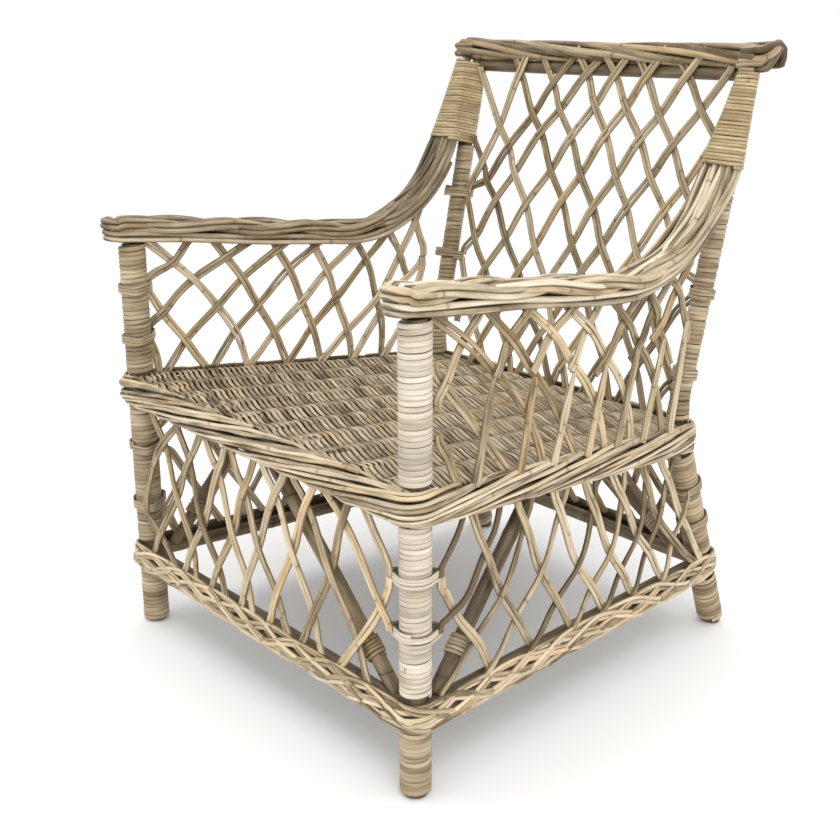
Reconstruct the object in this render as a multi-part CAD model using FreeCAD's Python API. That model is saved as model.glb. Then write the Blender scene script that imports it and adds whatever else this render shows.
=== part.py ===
import FreeCAD, Part
import math
import os

# Rattan armchair: a frame of round poles, woven lattice panels of split cane,
# a woven seat, and cane bindings round every post.
# Millimetres, +Z up, the front of the chair faces -Y, +X is the sitter's left.
# The origin lies on the floor, under the middle of the chair.

Vector = FreeCAD.Vector

# Plan of the frame, between post centres
front_width = 652.0
rear_foot_width = 536.0
rear_seat_width = 538.0
rear_top_width = 558.0
seat_depth = 552.0
rear_foot_splay = 129.0
back_lean = 109.0

# Heights above the floor
seat_front_height = 414.0
seat_rear_height = 364.0
front_post_height = 615.0
rear_post_height = 868.0
bottom_rail_height = 117.0

# Poles
post_diameter = 30.0
back_post_diameter = 21.0
post_bend_radius = 200.0
seat_rail_diameter = 25.0
bottom_rail_diameter = 20.0
crest_rail_diameter = 20.0
brace_diameter = 20.0
brace_set_in = 4.0
bearer_diameter = 20.0

# Bindings of cane round the posts
binding_thickness = 5.2
back_binding_thickness = 3.2
foot_turn_count = 10
foot_turn_gap = 0.6
binding_end_gap = 2.5
tie_thickness = 3.0
tie_height = 13.0
lashing_thickness = 3.0
wrap_gap = 0.9
lashing_length = 30.0

# Arms
arm_nose = 50.0
arm_dip = 60.0
arm_pole_diameter = 16.0
arm_bend_radius = 237.0
arm_plait_width = 60.0
arm_plait_thickness = 27.0
arm_strand_diameter = 10.0
arm_top_drop = 2.0
shoulder_length = 117.0
shoulder_end_gap = 3.0

# Crest
crest_overhang = 56.0
crest_height = 33.0
crest_depth = 46.0

# Seat
stake_count = 10
stake_width = 9.0
stake_thickness = 8.0
weave_thickness = 8.0
weave_valley_depth = 4.0
bearer_count = 2

# Borders woven round the seat and round the foot of the lattices
border_depth = 17.5
border_chamfer = 7.0
seat_border_height = 46.0
seat_border_rise = 1.0
bottom_border_height = 42.0

# Lattice strands: each is a flat pair of canes laid side by side
strand_width = 13.5
strand_thickness = 5.5
weave_gap = 0.2
lattice_half_depth = 9.3
shortest_strand_share = 0.14
back_pitch_count = 9
back_travel_share = 0.62
upper_pitch_count = 7
upper_travel_share = 0.30
front_pitch_count = 9
front_travel_share = 0.20
lower_pitch_count = 8
lower_travel_share = 0.28
rear_travel_share = 0.24

# Clearances
fit_gap = 0.3
cut_overrun = 40.0

# Places worked out from the sizes above
foot_depth = seat_depth + rear_foot_splay
top_depth = seat_depth + back_lean
arm_top_height = rear_post_height - arm_top_drop
shoulder_high_height = rear_post_height - crest_rail_diameter - shoulder_end_gap
shoulder_low_height = shoulder_high_height - shoulder_length
post_radius = post_diameter / 2
back_post_radius = back_post_diameter / 2
bound_radius = post_radius + fit_gap + binding_thickness
pole_sides = 14
binding_sides = 14
post_reach = post_radius / math.cos(math.pi / pole_sides)
back_bound_radius = back_post_radius + fit_gap + back_binding_thickness
tie_room = 1 / math.cos(math.pi / binding_sides)
whole_depth = arm_nose + foot_depth + bound_radius
front_y = arm_nose - whole_depth / 2
border_inner = post_radius + fit_gap
border_outer = border_inner + border_depth
seat_stack = weave_thickness + stake_thickness + 2 * fit_gap
seat_rail_radius = seat_rail_diameter / 2
seat_rail_drop = seat_stack + seat_rail_radius
post_names = ("front_left", "front_right", "rear_right", "rear_left")
post_sides = {"front_left": 1, "front_right": -1, "rear_right": -1, "rear_left": 1}
side_names = ("front", "left", "rear", "right")
side_posts = {
    "front": ("front_right", "front_left"),
    "left": ("front_left", "rear_left"),
    "rear": ("rear_left", "rear_right"),
    "right": ("rear_right", "front_right"),
}


def between(start, end, share):
    return start + (end - start) * share


def unit(vector):
    return vector * (1 / vector.Length)


def solid_of(shape):
    """The one solid of a shape, or its largest where a cut left slivers."""
    return max(shape.Solids, key=lambda piece: piece.Volume)


def save(name, solids):
    shape = solids[0] if len(solids) == 1 else Part.makeCompound(solids)
    shape.exportStep(os.path.join("parts", name + ".step"))
    print(name, len(solids), "solids", round(shape.Volume), "mm3")


# Posts


def front_post_point(side, height):
    return Vector(side * front_width / 2, front_y, height)


def rear_post_point(side, height):
    if height < seat_rear_height:
        share = height / seat_rear_height
        half = rear_foot_width + (rear_seat_width - rear_foot_width) * share
        depth = foot_depth + (seat_depth - foot_depth) * share
    else:
        share = (height - seat_rear_height) / (rear_post_height - seat_rear_height)
        half = rear_seat_width + (rear_top_width - rear_seat_width) * share
        depth = seat_depth + (top_depth - seat_depth) * share
    return Vector(side * half / 2, front_y + depth, height)


def post_point(name, height):
    place = front_post_point if name.startswith("front") else rear_post_point
    return place(post_sides[name], height)


def bend_arc(before, corner, after, radius):
    """The arc that rounds a corner, from tangent point to tangent point."""
    to_before = unit(before - corner)
    to_after = unit(after - corner)
    half_angle = to_before.getAngle(to_after) / 2
    reach = radius / math.tan(half_angle)
    bisector = unit(to_before + to_after)
    centre = corner + bisector * (radius / math.sin(half_angle))
    return Part.Arc(corner + to_before * reach, centre - bisector * radius, corner + to_after * reach)


def ring_outline(point, way, radius, sides):
    """A many-sided outline whose flats stand at the radius from an axis."""
    across = unit(way.cross(Vector(0, 1, 0)))
    if abs(way.y) > steep_share:
        across = unit(way.cross(Vector(1, 0, 0)))
    aside = unit(way.cross(across))
    reach = radius / math.cos(math.pi / sides)
    corners = []
    for step in range(sides):
        angle = 2 * math.pi * step / sides
        corners.append(point + across * (reach * math.cos(angle)) + aside * (reach * math.sin(angle)))
    return Part.makePolygon(corners + corners[:1])


def many_sided(stations, radii, sides):
    """A pole with flat sides, through points with the way along it and the radius at each."""
    rings = [ring_outline(point, way, radius, sides) for (point, way), radius in zip(stations, radii)]
    return solid_of(Part.makeLoft(rings, True, True))


def flat_sided(outlines):
    """A solid through outlines with as many corners each, its sides laid in flat triangles."""
    patches = [outlines[0], outlines[-1]]
    for first, second in zip(outlines, outlines[1:]):
        for index in range(len(first)):
            patches.append([first[index - 1], first[index], second[index]])
            patches.append([first[index - 1], second[index], second[index - 1]])
    shell = Part.makeShell([Part.Face(Part.makePolygon(corners + corners[:1])) for corners in patches])
    shell.sewShape()
    return Part.makeSolid(shell).removeSplitter()


def straight_pole(start, end, diameter):
    way = unit(end - start)
    return many_sided([(start, way), (end, way)], [diameter / 2] * 2, pole_sides)


def bend_stations(before, corner, after, radius, steps):
    """Points and ways through a bend, from tangent point to tangent point."""
    curve = bend_arc(before, corner, after, radius).toShape()
    span = curve.LastParameter - curve.FirstParameter
    stations = []
    for step in range(steps + 1):
        parameter = curve.FirstParameter + span * step / steps
        stations.append((curve.valueAt(parameter), unit(curve.tangentAt(parameter))))
    return stations


def bent_pole(before, corner, after, radius, steps, first_radius, last_radius):
    """A pole of two straight runs with a bend between them, in which it may grow thinner."""
    stations = bend_stations(before, corner, after, radius, steps)
    radii = [between(first_radius, last_radius, step / steps) for step in range(steps + 1)]
    stations.insert(0, (before, unit(corner - before)))
    stations.append((after, unit(after - corner)))
    return many_sided(stations, [first_radius] + radii + [last_radius], pole_sides)


# Flat sides of the small ties, and the bends' steps
tie_sides = 8
steep_share = 0.9
post_bend_steps = 4
arm_bend_steps = 7


def post_ends(side):
    return (rear_post_point(side, 0), rear_post_point(side, seat_rear_height),
            rear_post_point(side, rear_post_height))


def post_shape(name, grown=0.0, overrun=0.0):
    """A post, or the space it needs when it is grown by a clearance."""
    diameter = post_diameter + 2 * grown
    side = post_sides[name]
    if name.startswith("front"):
        down = front_post_point(side, -overrun)
        return straight_pole(down, front_post_point(side, front_post_height + overrun), diameter)
    foot, corner, top = post_ends(side)
    foot = foot + unit(foot - corner) * (overrun + post_diameter)
    top = top + unit(top - corner) * (overrun + post_diameter)
    pole = bent_pole(foot, corner, top, post_bend_radius, post_bend_steps,
                     diameter / 2, back_post_radius + grown)
    if overrun:
        return pole
    reach = whole_depth
    trim = Part.makeBox(2 * reach, 2 * reach, rear_post_height, Vector(-reach, -reach, 0))
    return solid_of(pole.common(trim))


def post_axis(name, low, high):
    """Points of a post's middle line between two heights, with the way along it at each."""
    points = [post_point(name, low), post_point(name, high)]
    if name.startswith("rear"):
        bend = bend_stations(*post_ends(post_sides[name]), post_bend_radius, post_bend_steps)
        inside = [(point, way) for point, way in bend if low <= point.z <= high]
        if inside:
            if low < bend[0][0].z:
                inside.insert(0, (points[0], bend[0][1]))
            if high > bend[-1][0].z:
                inside.append((points[1], bend[-1][1]))
            return inside
    way = unit(points[1] - points[0])
    return [(point, way) for point in points]


def is_back(name, height):
    """A rear post above the seat belongs to the back, where it is thinner."""
    return name.startswith("rear") and height > seat_rear_height


def post_radius_at(name, height):
    if name.startswith("front"):
        return post_radius
    bend = bend_stations(*post_ends(post_sides[name]), post_bend_radius, post_bend_steps)
    low, high = bend[0][0].z, bend[-1][0].z
    return between(post_radius, back_post_radius, min(1, max(0, (height - low) / (high - low))))


def clear_of_posts(shape, names):
    for name in names:
        shape = shape.cut(post_shape(name, fit_gap, cut_overrun))
    return solid_of(shape)


# Bindings


def binding_axis(name, low, high):
    """Where a binding starts, which way it climbs and how long it is."""
    start = post_point(name, low)
    end = post_point(name, high)
    return start, unit(end - start), (end - start).Length


def sleeve(stations, inner_radii, thickness, sides):
    """A sleeve of cane round the line through the stations."""
    outside = many_sided(stations, [radius + thickness for radius in inner_radii], sides)
    return solid_of(outside.cut(many_sided(stations, inner_radii, sides)))


def post_sleeve(name, low, high):
    stations = post_axis(name, low, high)
    inner_radii = [post_radius_at(name, point.z) + fit_gap for point, _ in stations]
    thickness = back_binding_thickness if is_back(name, high) else binding_thickness
    return sleeve(stations, inner_radii, thickness, binding_sides)


def biarc(start, start_way, end, end_way):
    """Two arcs that leave start and reach end along the given ways."""
    span = end - start
    ways = start_way + end_way
    bend = 2 * (1 - start_way.dot(end_way))
    reach = (math.sqrt(span.dot(ways) ** 2 + bend * span.dot(span)) - span.dot(ways)) / bend
    joint = (start + start_way * reach + end - end_way * reach) * (1 / 2)
    return (tangent_arc(start, start + start_way * reach, joint),
            tangent_arc(joint, end - end_way * reach, end))


def tangent_arc(start, corner, end):
    middle = (start + end) * (1 / 2)
    half_chord = (end - start).Length / 2
    half_turn = math.atan2((corner - middle).Length, half_chord)
    top = middle + (corner - middle) * (math.tan(half_turn / 2) / math.tan(half_turn))
    return Part.Arc(start, top, end)


def wound_binding(start, direction, length, inner_radius, thickness, turns, gap):
    """One unbroken cane wound round a post, on quarter-turn biarcs."""
    pitch = (length - thickness) / turns
    cane_width = min(thickness, pitch - gap)
    radius = inner_radius + thickness / 2
    across = unit(direction.cross(Vector(0, 1, 0)))
    aside = unit(direction.cross(across))
    base = start + direction * (thickness / 2)

    def place(quarter):
        angle = math.pi / 2 * quarter
        climb = pitch * quarter / 4
        point = base + direction * climb
        point += across * (radius * math.cos(angle)) + aside * (radius * math.sin(angle))
        round_way = aside * math.cos(angle) - across * math.sin(angle)
        return point, unit(round_way * (2 * math.pi * radius) + direction * pitch)

    stops = [place(quarter) for quarter in range(4 * turns + 1)]
    edges = []
    first_point, first_way = stops[0]
    last_point, last_way = stops[-1]
    tail = cane_width
    edges.append(Part.LineSegment(first_point - first_way * tail, first_point).toShape())
    for (point, way), (next_point, next_way) in zip(stops, stops[1:]):
        edges += [arc.toShape() for arc in biarc(point, way, next_point, next_way)]
    edges.append(Part.LineSegment(last_point, last_point + last_way * tail).toShape())
    report_turn_gap(edges, pitch, cane_width)
    begin = first_point - first_way * tail
    section = section_wire(begin, direction, across, cane_width / 2)
    return solid_of(Part.Wire(edges).makePipeShell([section], True, False))


arcs_per_turn = 8
points_per_arc = 3


def section_wire(centre, upward, outward, reach):
    """A three-sided section that stays within its reach however it turns."""
    corners = []
    for corner in range(3):
        angle = 2 * math.pi * corner / 3
        corners.append(centre + outward * (reach * math.cos(angle)) + upward * (reach * math.sin(angle)))
    return Part.makePolygon(corners + corners[:1])


def report_turn_gap(edges, pitch, cane_width):
    """Print the least gap between one turn and the next, measured on points."""
    points = []
    for edge in edges[1:-1]:
        points += edge.discretize(Number=points_per_arc + 1)[:-1]
    turn = points_per_arc * arcs_per_turn
    least = min(
        (points[i] - points[j]).Length
        for i in range(len(points))
        for j in range(i + turn // 2, min(i + 2 * turn, len(points)))
    )
    print("turns", round(least - cane_width, 2), "mm apart at pitch", round(pitch, 2))


# Straight rails, the seat's support and the braces


def seat_height(name):
    return seat_front_height if name.startswith("front") else seat_rear_height


def level_rail(first, second, height, diameter):
    pole = straight_pole(post_point(first, height), post_point(second, height), diameter)
    return clear_of_posts(pole, (first, second))


def seat_rail_point(name):
    """The end of two seat rails, under the seat's edge at a post."""
    point = post_point(name, seat_height(name))
    return point - Vector(0, 0, seat_rail_drop)


def rail_space(start, end, diameter):
    """The room a rail needs, with its clearance."""
    return straight_pole(start, end, diameter + 2 * fit_gap)


def seat_rail_shape(side):
    """A seat rail; the side rails are coped to the front and rear ones."""
    first, second = side_posts[side]
    pole = straight_pole(seat_rail_point(first), seat_rail_point(second), seat_rail_diameter)
    if side in ("left", "right"):
        for other in ("front", "rear"):
            start, end = [seat_rail_point(name) for name in side_posts[other]]
            pole = pole.cut(rail_space(start, end, seat_rail_diameter))
    return clear_of_posts(pole, (first, second))


def bottom_rail_shape(side):
    first, second = side_posts[side]
    return level_rail(first, second, bottom_rail_height, bottom_rail_diameter)


def seat_line_point(across_share, depth_share, drop):
    """A point on the seat, by shares across from right to left and back from the front."""
    right = between(front_post_point(-1, 0), rear_post_point(-1, seat_rear_height), depth_share)
    left = between(front_post_point(1, 0), rear_post_point(1, seat_rear_height), depth_share)
    point = between(right, left, across_share)
    point.z = seat_front_height + (seat_rear_height - seat_front_height) * depth_share - drop
    return point


def bar_between(start, end, width, height):
    """A straight flat bar, its width level and its ends upright."""
    along = end - start
    side = unit(along.cross(Vector(0, 0, 1))) * (width / 2)
    rise = Vector(0, 0, height / 2)
    wires = []
    for centre in (start, end):
        corners = [centre + side + rise, centre - side + rise, centre - side - rise, centre + side - rise]
        wires.append(Part.makePolygon(corners + corners[:1]))
    return solid_of(Part.makeLoft(wires, True, True))


def stake_shapes():
    drop = weave_thickness + fit_gap + stake_thickness / 2
    shapes = []
    for index in range(stake_count):
        share = (index + 1 / 2) / stake_count
        start = seat_line_point(share, 0, drop)
        end = seat_line_point(share, 1, drop)
        shapes.append(bar_between(start, end, stake_width, stake_thickness))
    return shapes


def bearer_shapes():
    drop = seat_stack + bearer_diameter / 2
    shapes = []
    for index in range(bearer_count):
        share = (index + 1) / (bearer_count + 1)
        shape = straight_pole(seat_line_point(0, share, drop), seat_line_point(1, share, drop), bearer_diameter)
        for side in ("left", "right"):
            start, end = [seat_rail_point(name) for name in side_posts[side]]
            shape = shape.cut(rail_space(start, end, seat_rail_diameter))
        shapes.append(solid_of(shape))
    return shapes


# Across one band of the weave, which arches over its stake: places from side to side of the
# band, and how much of the valley's depth each has
band_place_shares = (0.0, 0.2, 0.8)
band_fall_shares = (1.0, 0.0, 0.0)


def weave_section(right, left):
    """The weave cut across from side to side: a flat underside and a ridge over every stake."""
    rise = Vector(0, 0, weave_thickness)
    corners = [left, right]
    for band in range(stake_count):
        for place, fall in zip(band_place_shares, band_fall_shares):
            point = between(right, left, (band + place) / stake_count)
            corners.append(point + rise - Vector(0, 0, weave_valley_depth * fall))
    corners.append(left + rise - Vector(0, 0, weave_valley_depth))
    return corners


def weave_shape():
    corners = []
    for name in post_names:
        corners.append(post_point(name, seat_height(name)))
    outline = widened(corners, border_inner - fit_gap)
    for corner in outline:
        back_share = (corner.y - front_y) / seat_depth
        corner.z = seat_line_point(0, back_share, weave_thickness).z
    front_left, front_right, rear_right, rear_left = outline
    weave = flat_sided([weave_section(front_right, front_left), weave_section(rear_right, rear_left)])
    return clear_of_posts(weave, post_names)


def outward_normal(start, end):
    """Level and square to a side of the chair, pointing away from its middle."""
    along = end - start
    normal = unit(Vector(along.y, -along.x, 0))
    middle = (start + end) * (1 / 2)
    return normal if normal.x * middle.x + normal.y * middle.y > 0 else normal * -1


def widened(corners, distance):
    """The corners of a four-sided plan moved out so that each side moves by the distance."""
    moved = []
    for index, corner in enumerate(corners):
        before = corners[index - 1]
        after = corners[(index + 1) % len(corners)]
        first = outward_normal(before, corner)
        second = outward_normal(corner, after)
        bisector = unit(first + second)
        moved.append(corner + bisector * (distance / bisector.dot(first)))
    return moved


# The brace of each side climbs from the foot of one post to the seat rail.
# Each entry: the post it starts at, and the share of the side where it meets the rail.
brace_shares = {
    "front": ("front_left", 0.50),
    "left": ("front_left", 0.42),
    "rear": ("rear_left", 0.50),
    "right": ("front_right", 0.40),
}
brace_foot_share = 0.05


def brace_ends(side):
    """Foot and top of a brace's centre line, a little inside the rails."""
    base, top_share = brace_shares[side]
    first, second = side_posts[side]
    other = second if base == first else first
    low = post_point(base, bottom_rail_height)
    foot = between(low, post_point(other, bottom_rail_height), brace_foot_share)
    top = between(seat_rail_point(base), seat_rail_point(other), top_share)
    inward = outward_normal(low, post_point(other, bottom_rail_height)) * -brace_set_in
    return foot + inward, top + inward


def brace_shape(side):
    foot, top = brace_ends(side)
    first, second = side_posts[side]
    shape = straight_pole(foot, top, brace_diameter)
    shape = shape.cut(rail_space(seat_rail_point(first), seat_rail_point(second), seat_rail_diameter))
    low_ends = [post_point(name, bottom_rail_height) for name in (first, second)]
    shape = shape.cut(rail_space(low_ends[0], low_ends[1], bottom_rail_diameter))
    return clear_of_posts(shape, (brace_shares[side][0],))


def lashing_shape(side):
    foot, top = brace_ends(side)
    way = unit(top - foot)
    start = foot + way * (post_diameter + lashing_length)
    stations = [(start, way), (start + way * lashing_length, way)]
    return sleeve(stations, [brace_diameter / 2 + fit_gap] * 2, lashing_thickness, tie_sides)


# Borders


# The borders are full between the posts and along the front; they hug the rear posts
corner_depth_shares = {"front_left": 1.0, "front_right": 1.0, "rear_right": 0.5, "rear_left": 0.5}
full_depth_shares = (0.12, 0.88)


def border_section(centre, outward, height, depth_share):
    """An upright band section with its outer corners cut off."""
    outer = between(border_inner, border_outer, depth_share)
    chamfer = border_chamfer * depth_share
    level = (border_inner, outer - chamfer, outer, outer, outer - chamfer, border_inner)
    half = height / 2
    rises = (-half, -half, chamfer - half, half - chamfer, half, half)
    return [centre + outward * out + Vector(0, 0, rise) for out, rise in zip(level, rises)]


corner_steps = 4


def border_shape(side, middle_heights, height):
    """One side of a woven border, with the turn round the post it starts at."""
    first, second = side_posts[side]
    before = side_posts[side_before(side)][0]
    start = post_point(first, middle_heights[first])
    end = post_point(second, middle_heights[second])
    here = outward_normal(start, end)
    previous = outward_normal(post_point(before, middle_heights[before]), start)
    turn = previous.getAngle(here)
    spin = math.copysign(1, previous.cross(here).z)
    outlines = []
    for step in range(corner_steps + 1):
        angle = spin * turn * step / corner_steps
        turned = Vector(previous.x * math.cos(angle) - previous.y * math.sin(angle),
                        previous.x * math.sin(angle) + previous.y * math.cos(angle), 0)
        outlines.append(border_section(start, turned, height, corner_depth_shares[first]))
    for share in full_depth_shares:
        outlines.append(border_section(between(start, end, share), here, height, 1))
    outlines.append(border_section(end, here, height, corner_depth_shares[second]))
    return clear_of_posts(flat_sided(outlines), (first, second))


def side_before(side):
    return side_names[side_names.index(side) - 1]


seat_border_middles = {
    name: seat_height(name) + seat_border_rise - seat_border_height / 2 for name in post_names
}
bottom_border_middles = {name: bottom_rail_height for name in post_names}


# Arms


def arm_plane(side):
    """Level way from the front post towards the rear post's top, and its outward normal."""
    front = front_post_point(side, 0)
    rear = rear_post_point(side, rear_post_height)
    along = unit(Vector(rear.x - front.x, rear.y - front.y, 0))
    return front, along, Vector(-along.y, along.x, 0)


def arm_corners(side, lift):
    """Start, corner and top of the arm's line, lifted square to itself off the pole's centre."""
    front, along, _ = arm_plane(side)
    slope_room = post_radius * arm_dip / seat_depth
    start_height = front_post_height + fit_gap + slope_room + arm_pole_diameter / 2
    low = rear_post_point(side, seat_rear_height)
    high = rear_post_point(side, rear_post_height)
    post_way = unit(high - low)
    level = along - post_way * along.dot(post_way)
    forward = unit(level) * -1
    stand = back_post_radius + fit_gap + arm_pole_diameter / 2
    run = (low + forward * stand - front).dot(along)
    rest = low + forward * (stand + lift)
    dip_way = unit(along * run - Vector(0, 0, arm_dip))
    rise_way = unit(dip_way.cross(along.cross(Vector(0, 0, 1))))
    if rise_way.z < 0:
        rise_way = rise_way * -1
    start = front + Vector(0, 0, start_height) + rise_way * lift
    reach = line_meeting(start, dip_way, rest, post_way, along)
    corner = start + dip_way * reach
    top_reach = (arm_top_height - corner.z) / post_way.z
    return start, corner, corner + post_way * top_reach, dip_way, post_way


def line_meeting(start, way, other, other_way, along):
    """How far along the first line the second one meets it, seen square to the arm's plane."""
    up = Vector(0, 0, 1)
    a, b = way.dot(along), way.dot(up)
    c, d = other_way.dot(along), other_way.dot(up)
    u, v = (other - start).dot(along), (other - start).dot(up)
    return (u * d - v * c) / (a * d - b * c)


def arm_path(side, lift, nose):
    start, corner, top, dip_way, _ = arm_corners(side, lift)
    return start - dip_way * nose, corner, top, arm_bend_radius - lift


def arm_pole_shape(side):
    start, corner, top, radius = arm_path(side, 0, arm_nose / 2)
    return bent_pole(start, corner, top, radius, arm_bend_steps,
                     arm_pole_diameter / 2, arm_pole_diameter / 2)


def strand_section(centre, wide, tall, width, thickness):
    """An eight-sided section, flat on its back, that stands for a round bundle."""
    wide_shares = (-1, -1, -0.7, 0.7, 1, 1, 0.7, -0.7)
    tall_shares = (0.3, 0.7, 1, 1, 0.7, 0.3, 0, 0)
    return [centre + wide * (width / 2 * w) + tall * (thickness * t)
            for w, t in zip(wide_shares, tall_shares)]


arm_straight_shares = (0, 0.04, 0.12, 0.5)


def arm_stations(side, lift, nose):
    """Points along the arm with the way up from it, from the nose to under the shoulder wrap."""
    start, corner, top, radius = arm_path(side, lift, nose)
    _, _, normal = arm_plane(side)
    bend = bend_stations(start, corner, top, radius, arm_bend_steps)
    places = [(between(start, bend[0][0], share), unit(corner - start)) for share in arm_straight_shares]
    places += bend + [(top, unit(top - corner))]
    return [(point, unit(way.cross(normal))) for point, way in places]


# The plait rounds off at the nose, is a little fatter over the front post, full along the arm,
# and draws in as it climbs under the shoulder wrap: shares of its full size, one for each station.
plait_width_shares = (0.25, 0.8, 1.0, 1.0, 1.0, 1.0, 1.0, 0.98, 0.96, 0.91, 0.85, 0.78, 0.57)
plait_thickness_shares = (0.75, 1.05, 1.1, 1.05, 1.0, 1.0, 1.0, 1.0, 1.0, 0.94, 0.78, 0.61, 0.44)


def arm_plait_shape(side):
    lift = arm_pole_diameter / 2 + fit_gap
    _, _, normal = arm_plane(side)
    outlines = []
    stations = arm_stations(side, lift, arm_nose)
    for (point, rise), wide_share, tall_share in zip(stations, plait_width_shares, plait_thickness_shares):
        outlines.append(strand_section(point, normal, rise, arm_plait_width * wide_share,
                                       arm_plait_thickness * tall_share))
    return flat_sided(outlines)


def arm_strand_shapes(side):
    """Two thinner strands under the plait, one on each side of the pole."""
    _, _, normal = arm_plane(side)
    offset = (arm_pole_diameter + arm_strand_diameter) / 2 + fit_gap
    stations = arm_stations(side, 0, arm_nose)[:-4]
    shapes = []
    for way in (1, -1):
        outlines = []
        for point, rise in stations:
            centre = point + normal * (way * offset) - rise * (arm_strand_diameter / 2)
            lift = rise * (arm_pole_diameter / 2 - arm_strand_diameter / 2)
            outlines.append(strand_section(centre + lift, normal, rise,
                                           arm_strand_diameter, arm_strand_diameter))
        shapes.append(flat_sided(outlines))
    return shapes


# Shoulder wraps


def egg_outline(centre, forward, aside, rear_radius, reaches, half_width):
    """Round the post at the back, broad at the front round the arm's bundle."""
    points = []
    rear_reach = rear_radius / math.cos(math.pi / 2 / egg_steps)
    for step in range(egg_steps + 1):
        angle = math.pi / 2 + math.pi * step / egg_steps
        points.append(centre + forward * (rear_reach * math.cos(angle))
                      + aside * (rear_reach * math.sin(angle)))
    back, middle, front = reaches
    narrow = half_width * egg_front_share
    for reach, wide in ((back, -half_width), (middle, -half_width), (front, -narrow),
                        (front, narrow), (middle, half_width), (back, half_width)):
        points.append(centre + forward * reach + aside * wide)
    return Part.makePolygon(points + points[:1])


egg_steps = 4
egg_front_share = 0.75


def shoulder_wrap_shape(side):
    """A tapering wrap that binds the arm's bundle to the rear post."""
    low = rear_post_point(side, shoulder_low_height)
    high = rear_post_point(side, shoulder_high_height)
    way = unit(high - low)
    _, along, normal = arm_plane(side)
    forward = unit(along - way * along.dot(way)) * -1
    aside = unit(normal - way * normal.dot(way))
    reaches, widths = shoulder_reaches(side, (low, high), way, forward, aside)
    shells = []
    for grown in (wrap_gap + binding_thickness, wrap_gap):
        wires = []
        for point, reach, half in zip(shoulder_stations(low, high), reaches, widths):
            back, middle, front = reach
            wires.append(egg_outline(point, forward, aside, back_post_radius + grown,
                                     (back - grown, middle + grown, front + grown), half + grown))
        shells.append(Part.makeLoft(wires, True, True))
    return solid_of(shells[0].cut(shells[1]))


shoulder_steps = 3


def shoulder_stations(low, high):
    return [between(low, high, step / shoulder_steps) for step in range(shoulder_steps + 1)]


def shoulder_reaches(side, ends, way, forward, aside):
    """Where the arm's bundle is widest and ends, forward of the post, and its half width."""
    plait = arm_plait_shape(side)
    reaches = []
    widths = []
    for point in shoulder_stations(*ends):
        cuts = plait.slice(way, way.dot(point))
        corners = [vertex.Point for wire in cuts for vertex in wire.Vertexes]
        half = max(abs((corner - point).dot(aside)) for corner in corners)
        wide = [corner for corner in corners if abs((corner - point).dot(aside)) > half * widest_share]
        places = [(corner - point).dot(forward) for corner in wide]
        reaches.append((min(places), max(places), max((corner - point).dot(forward) for corner in corners)))
        widths.append(half)
    return reaches, widths


widest_share = 0.9


# Crest

# Shares along half the crest, from its middle to its curled end, with the girth there
crest_place_shares = (0.0, 0.55, 0.80, 0.93, 1.0)
crest_girth_shares = (0.92, 0.94, 1.06, 1.12, 0.70)


def crest_ends():
    left = rear_post_point(1, rear_post_height)
    right = rear_post_point(-1, rear_post_height)
    return right, left


def crest_plait_shape():
    right, left = crest_ends()
    middle = (right + left) * (1 / 2) + Vector(0, 0, fit_gap)
    half = (left - right).Length / 2 + crest_overhang
    across = Vector(1, 0, 0)
    places = [(-share, girth) for share, girth in zip(crest_place_shares, crest_girth_shares)][:0:-1]
    places += list(zip(crest_place_shares, crest_girth_shares))
    outlines = []
    for share, girth in places:
        centre = middle + across * (half * share)
        outlines.append(strand_section(centre, Vector(0, 1, 0), Vector(0, 0, 1),
                                       crest_depth * girth, crest_height * girth))
    return flat_sided(outlines)


def crest_rail_shape():
    height = rear_post_height - crest_rail_diameter / 2
    return level_rail("rear_right", "rear_left", height, crest_rail_diameter)


# Lattices


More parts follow.
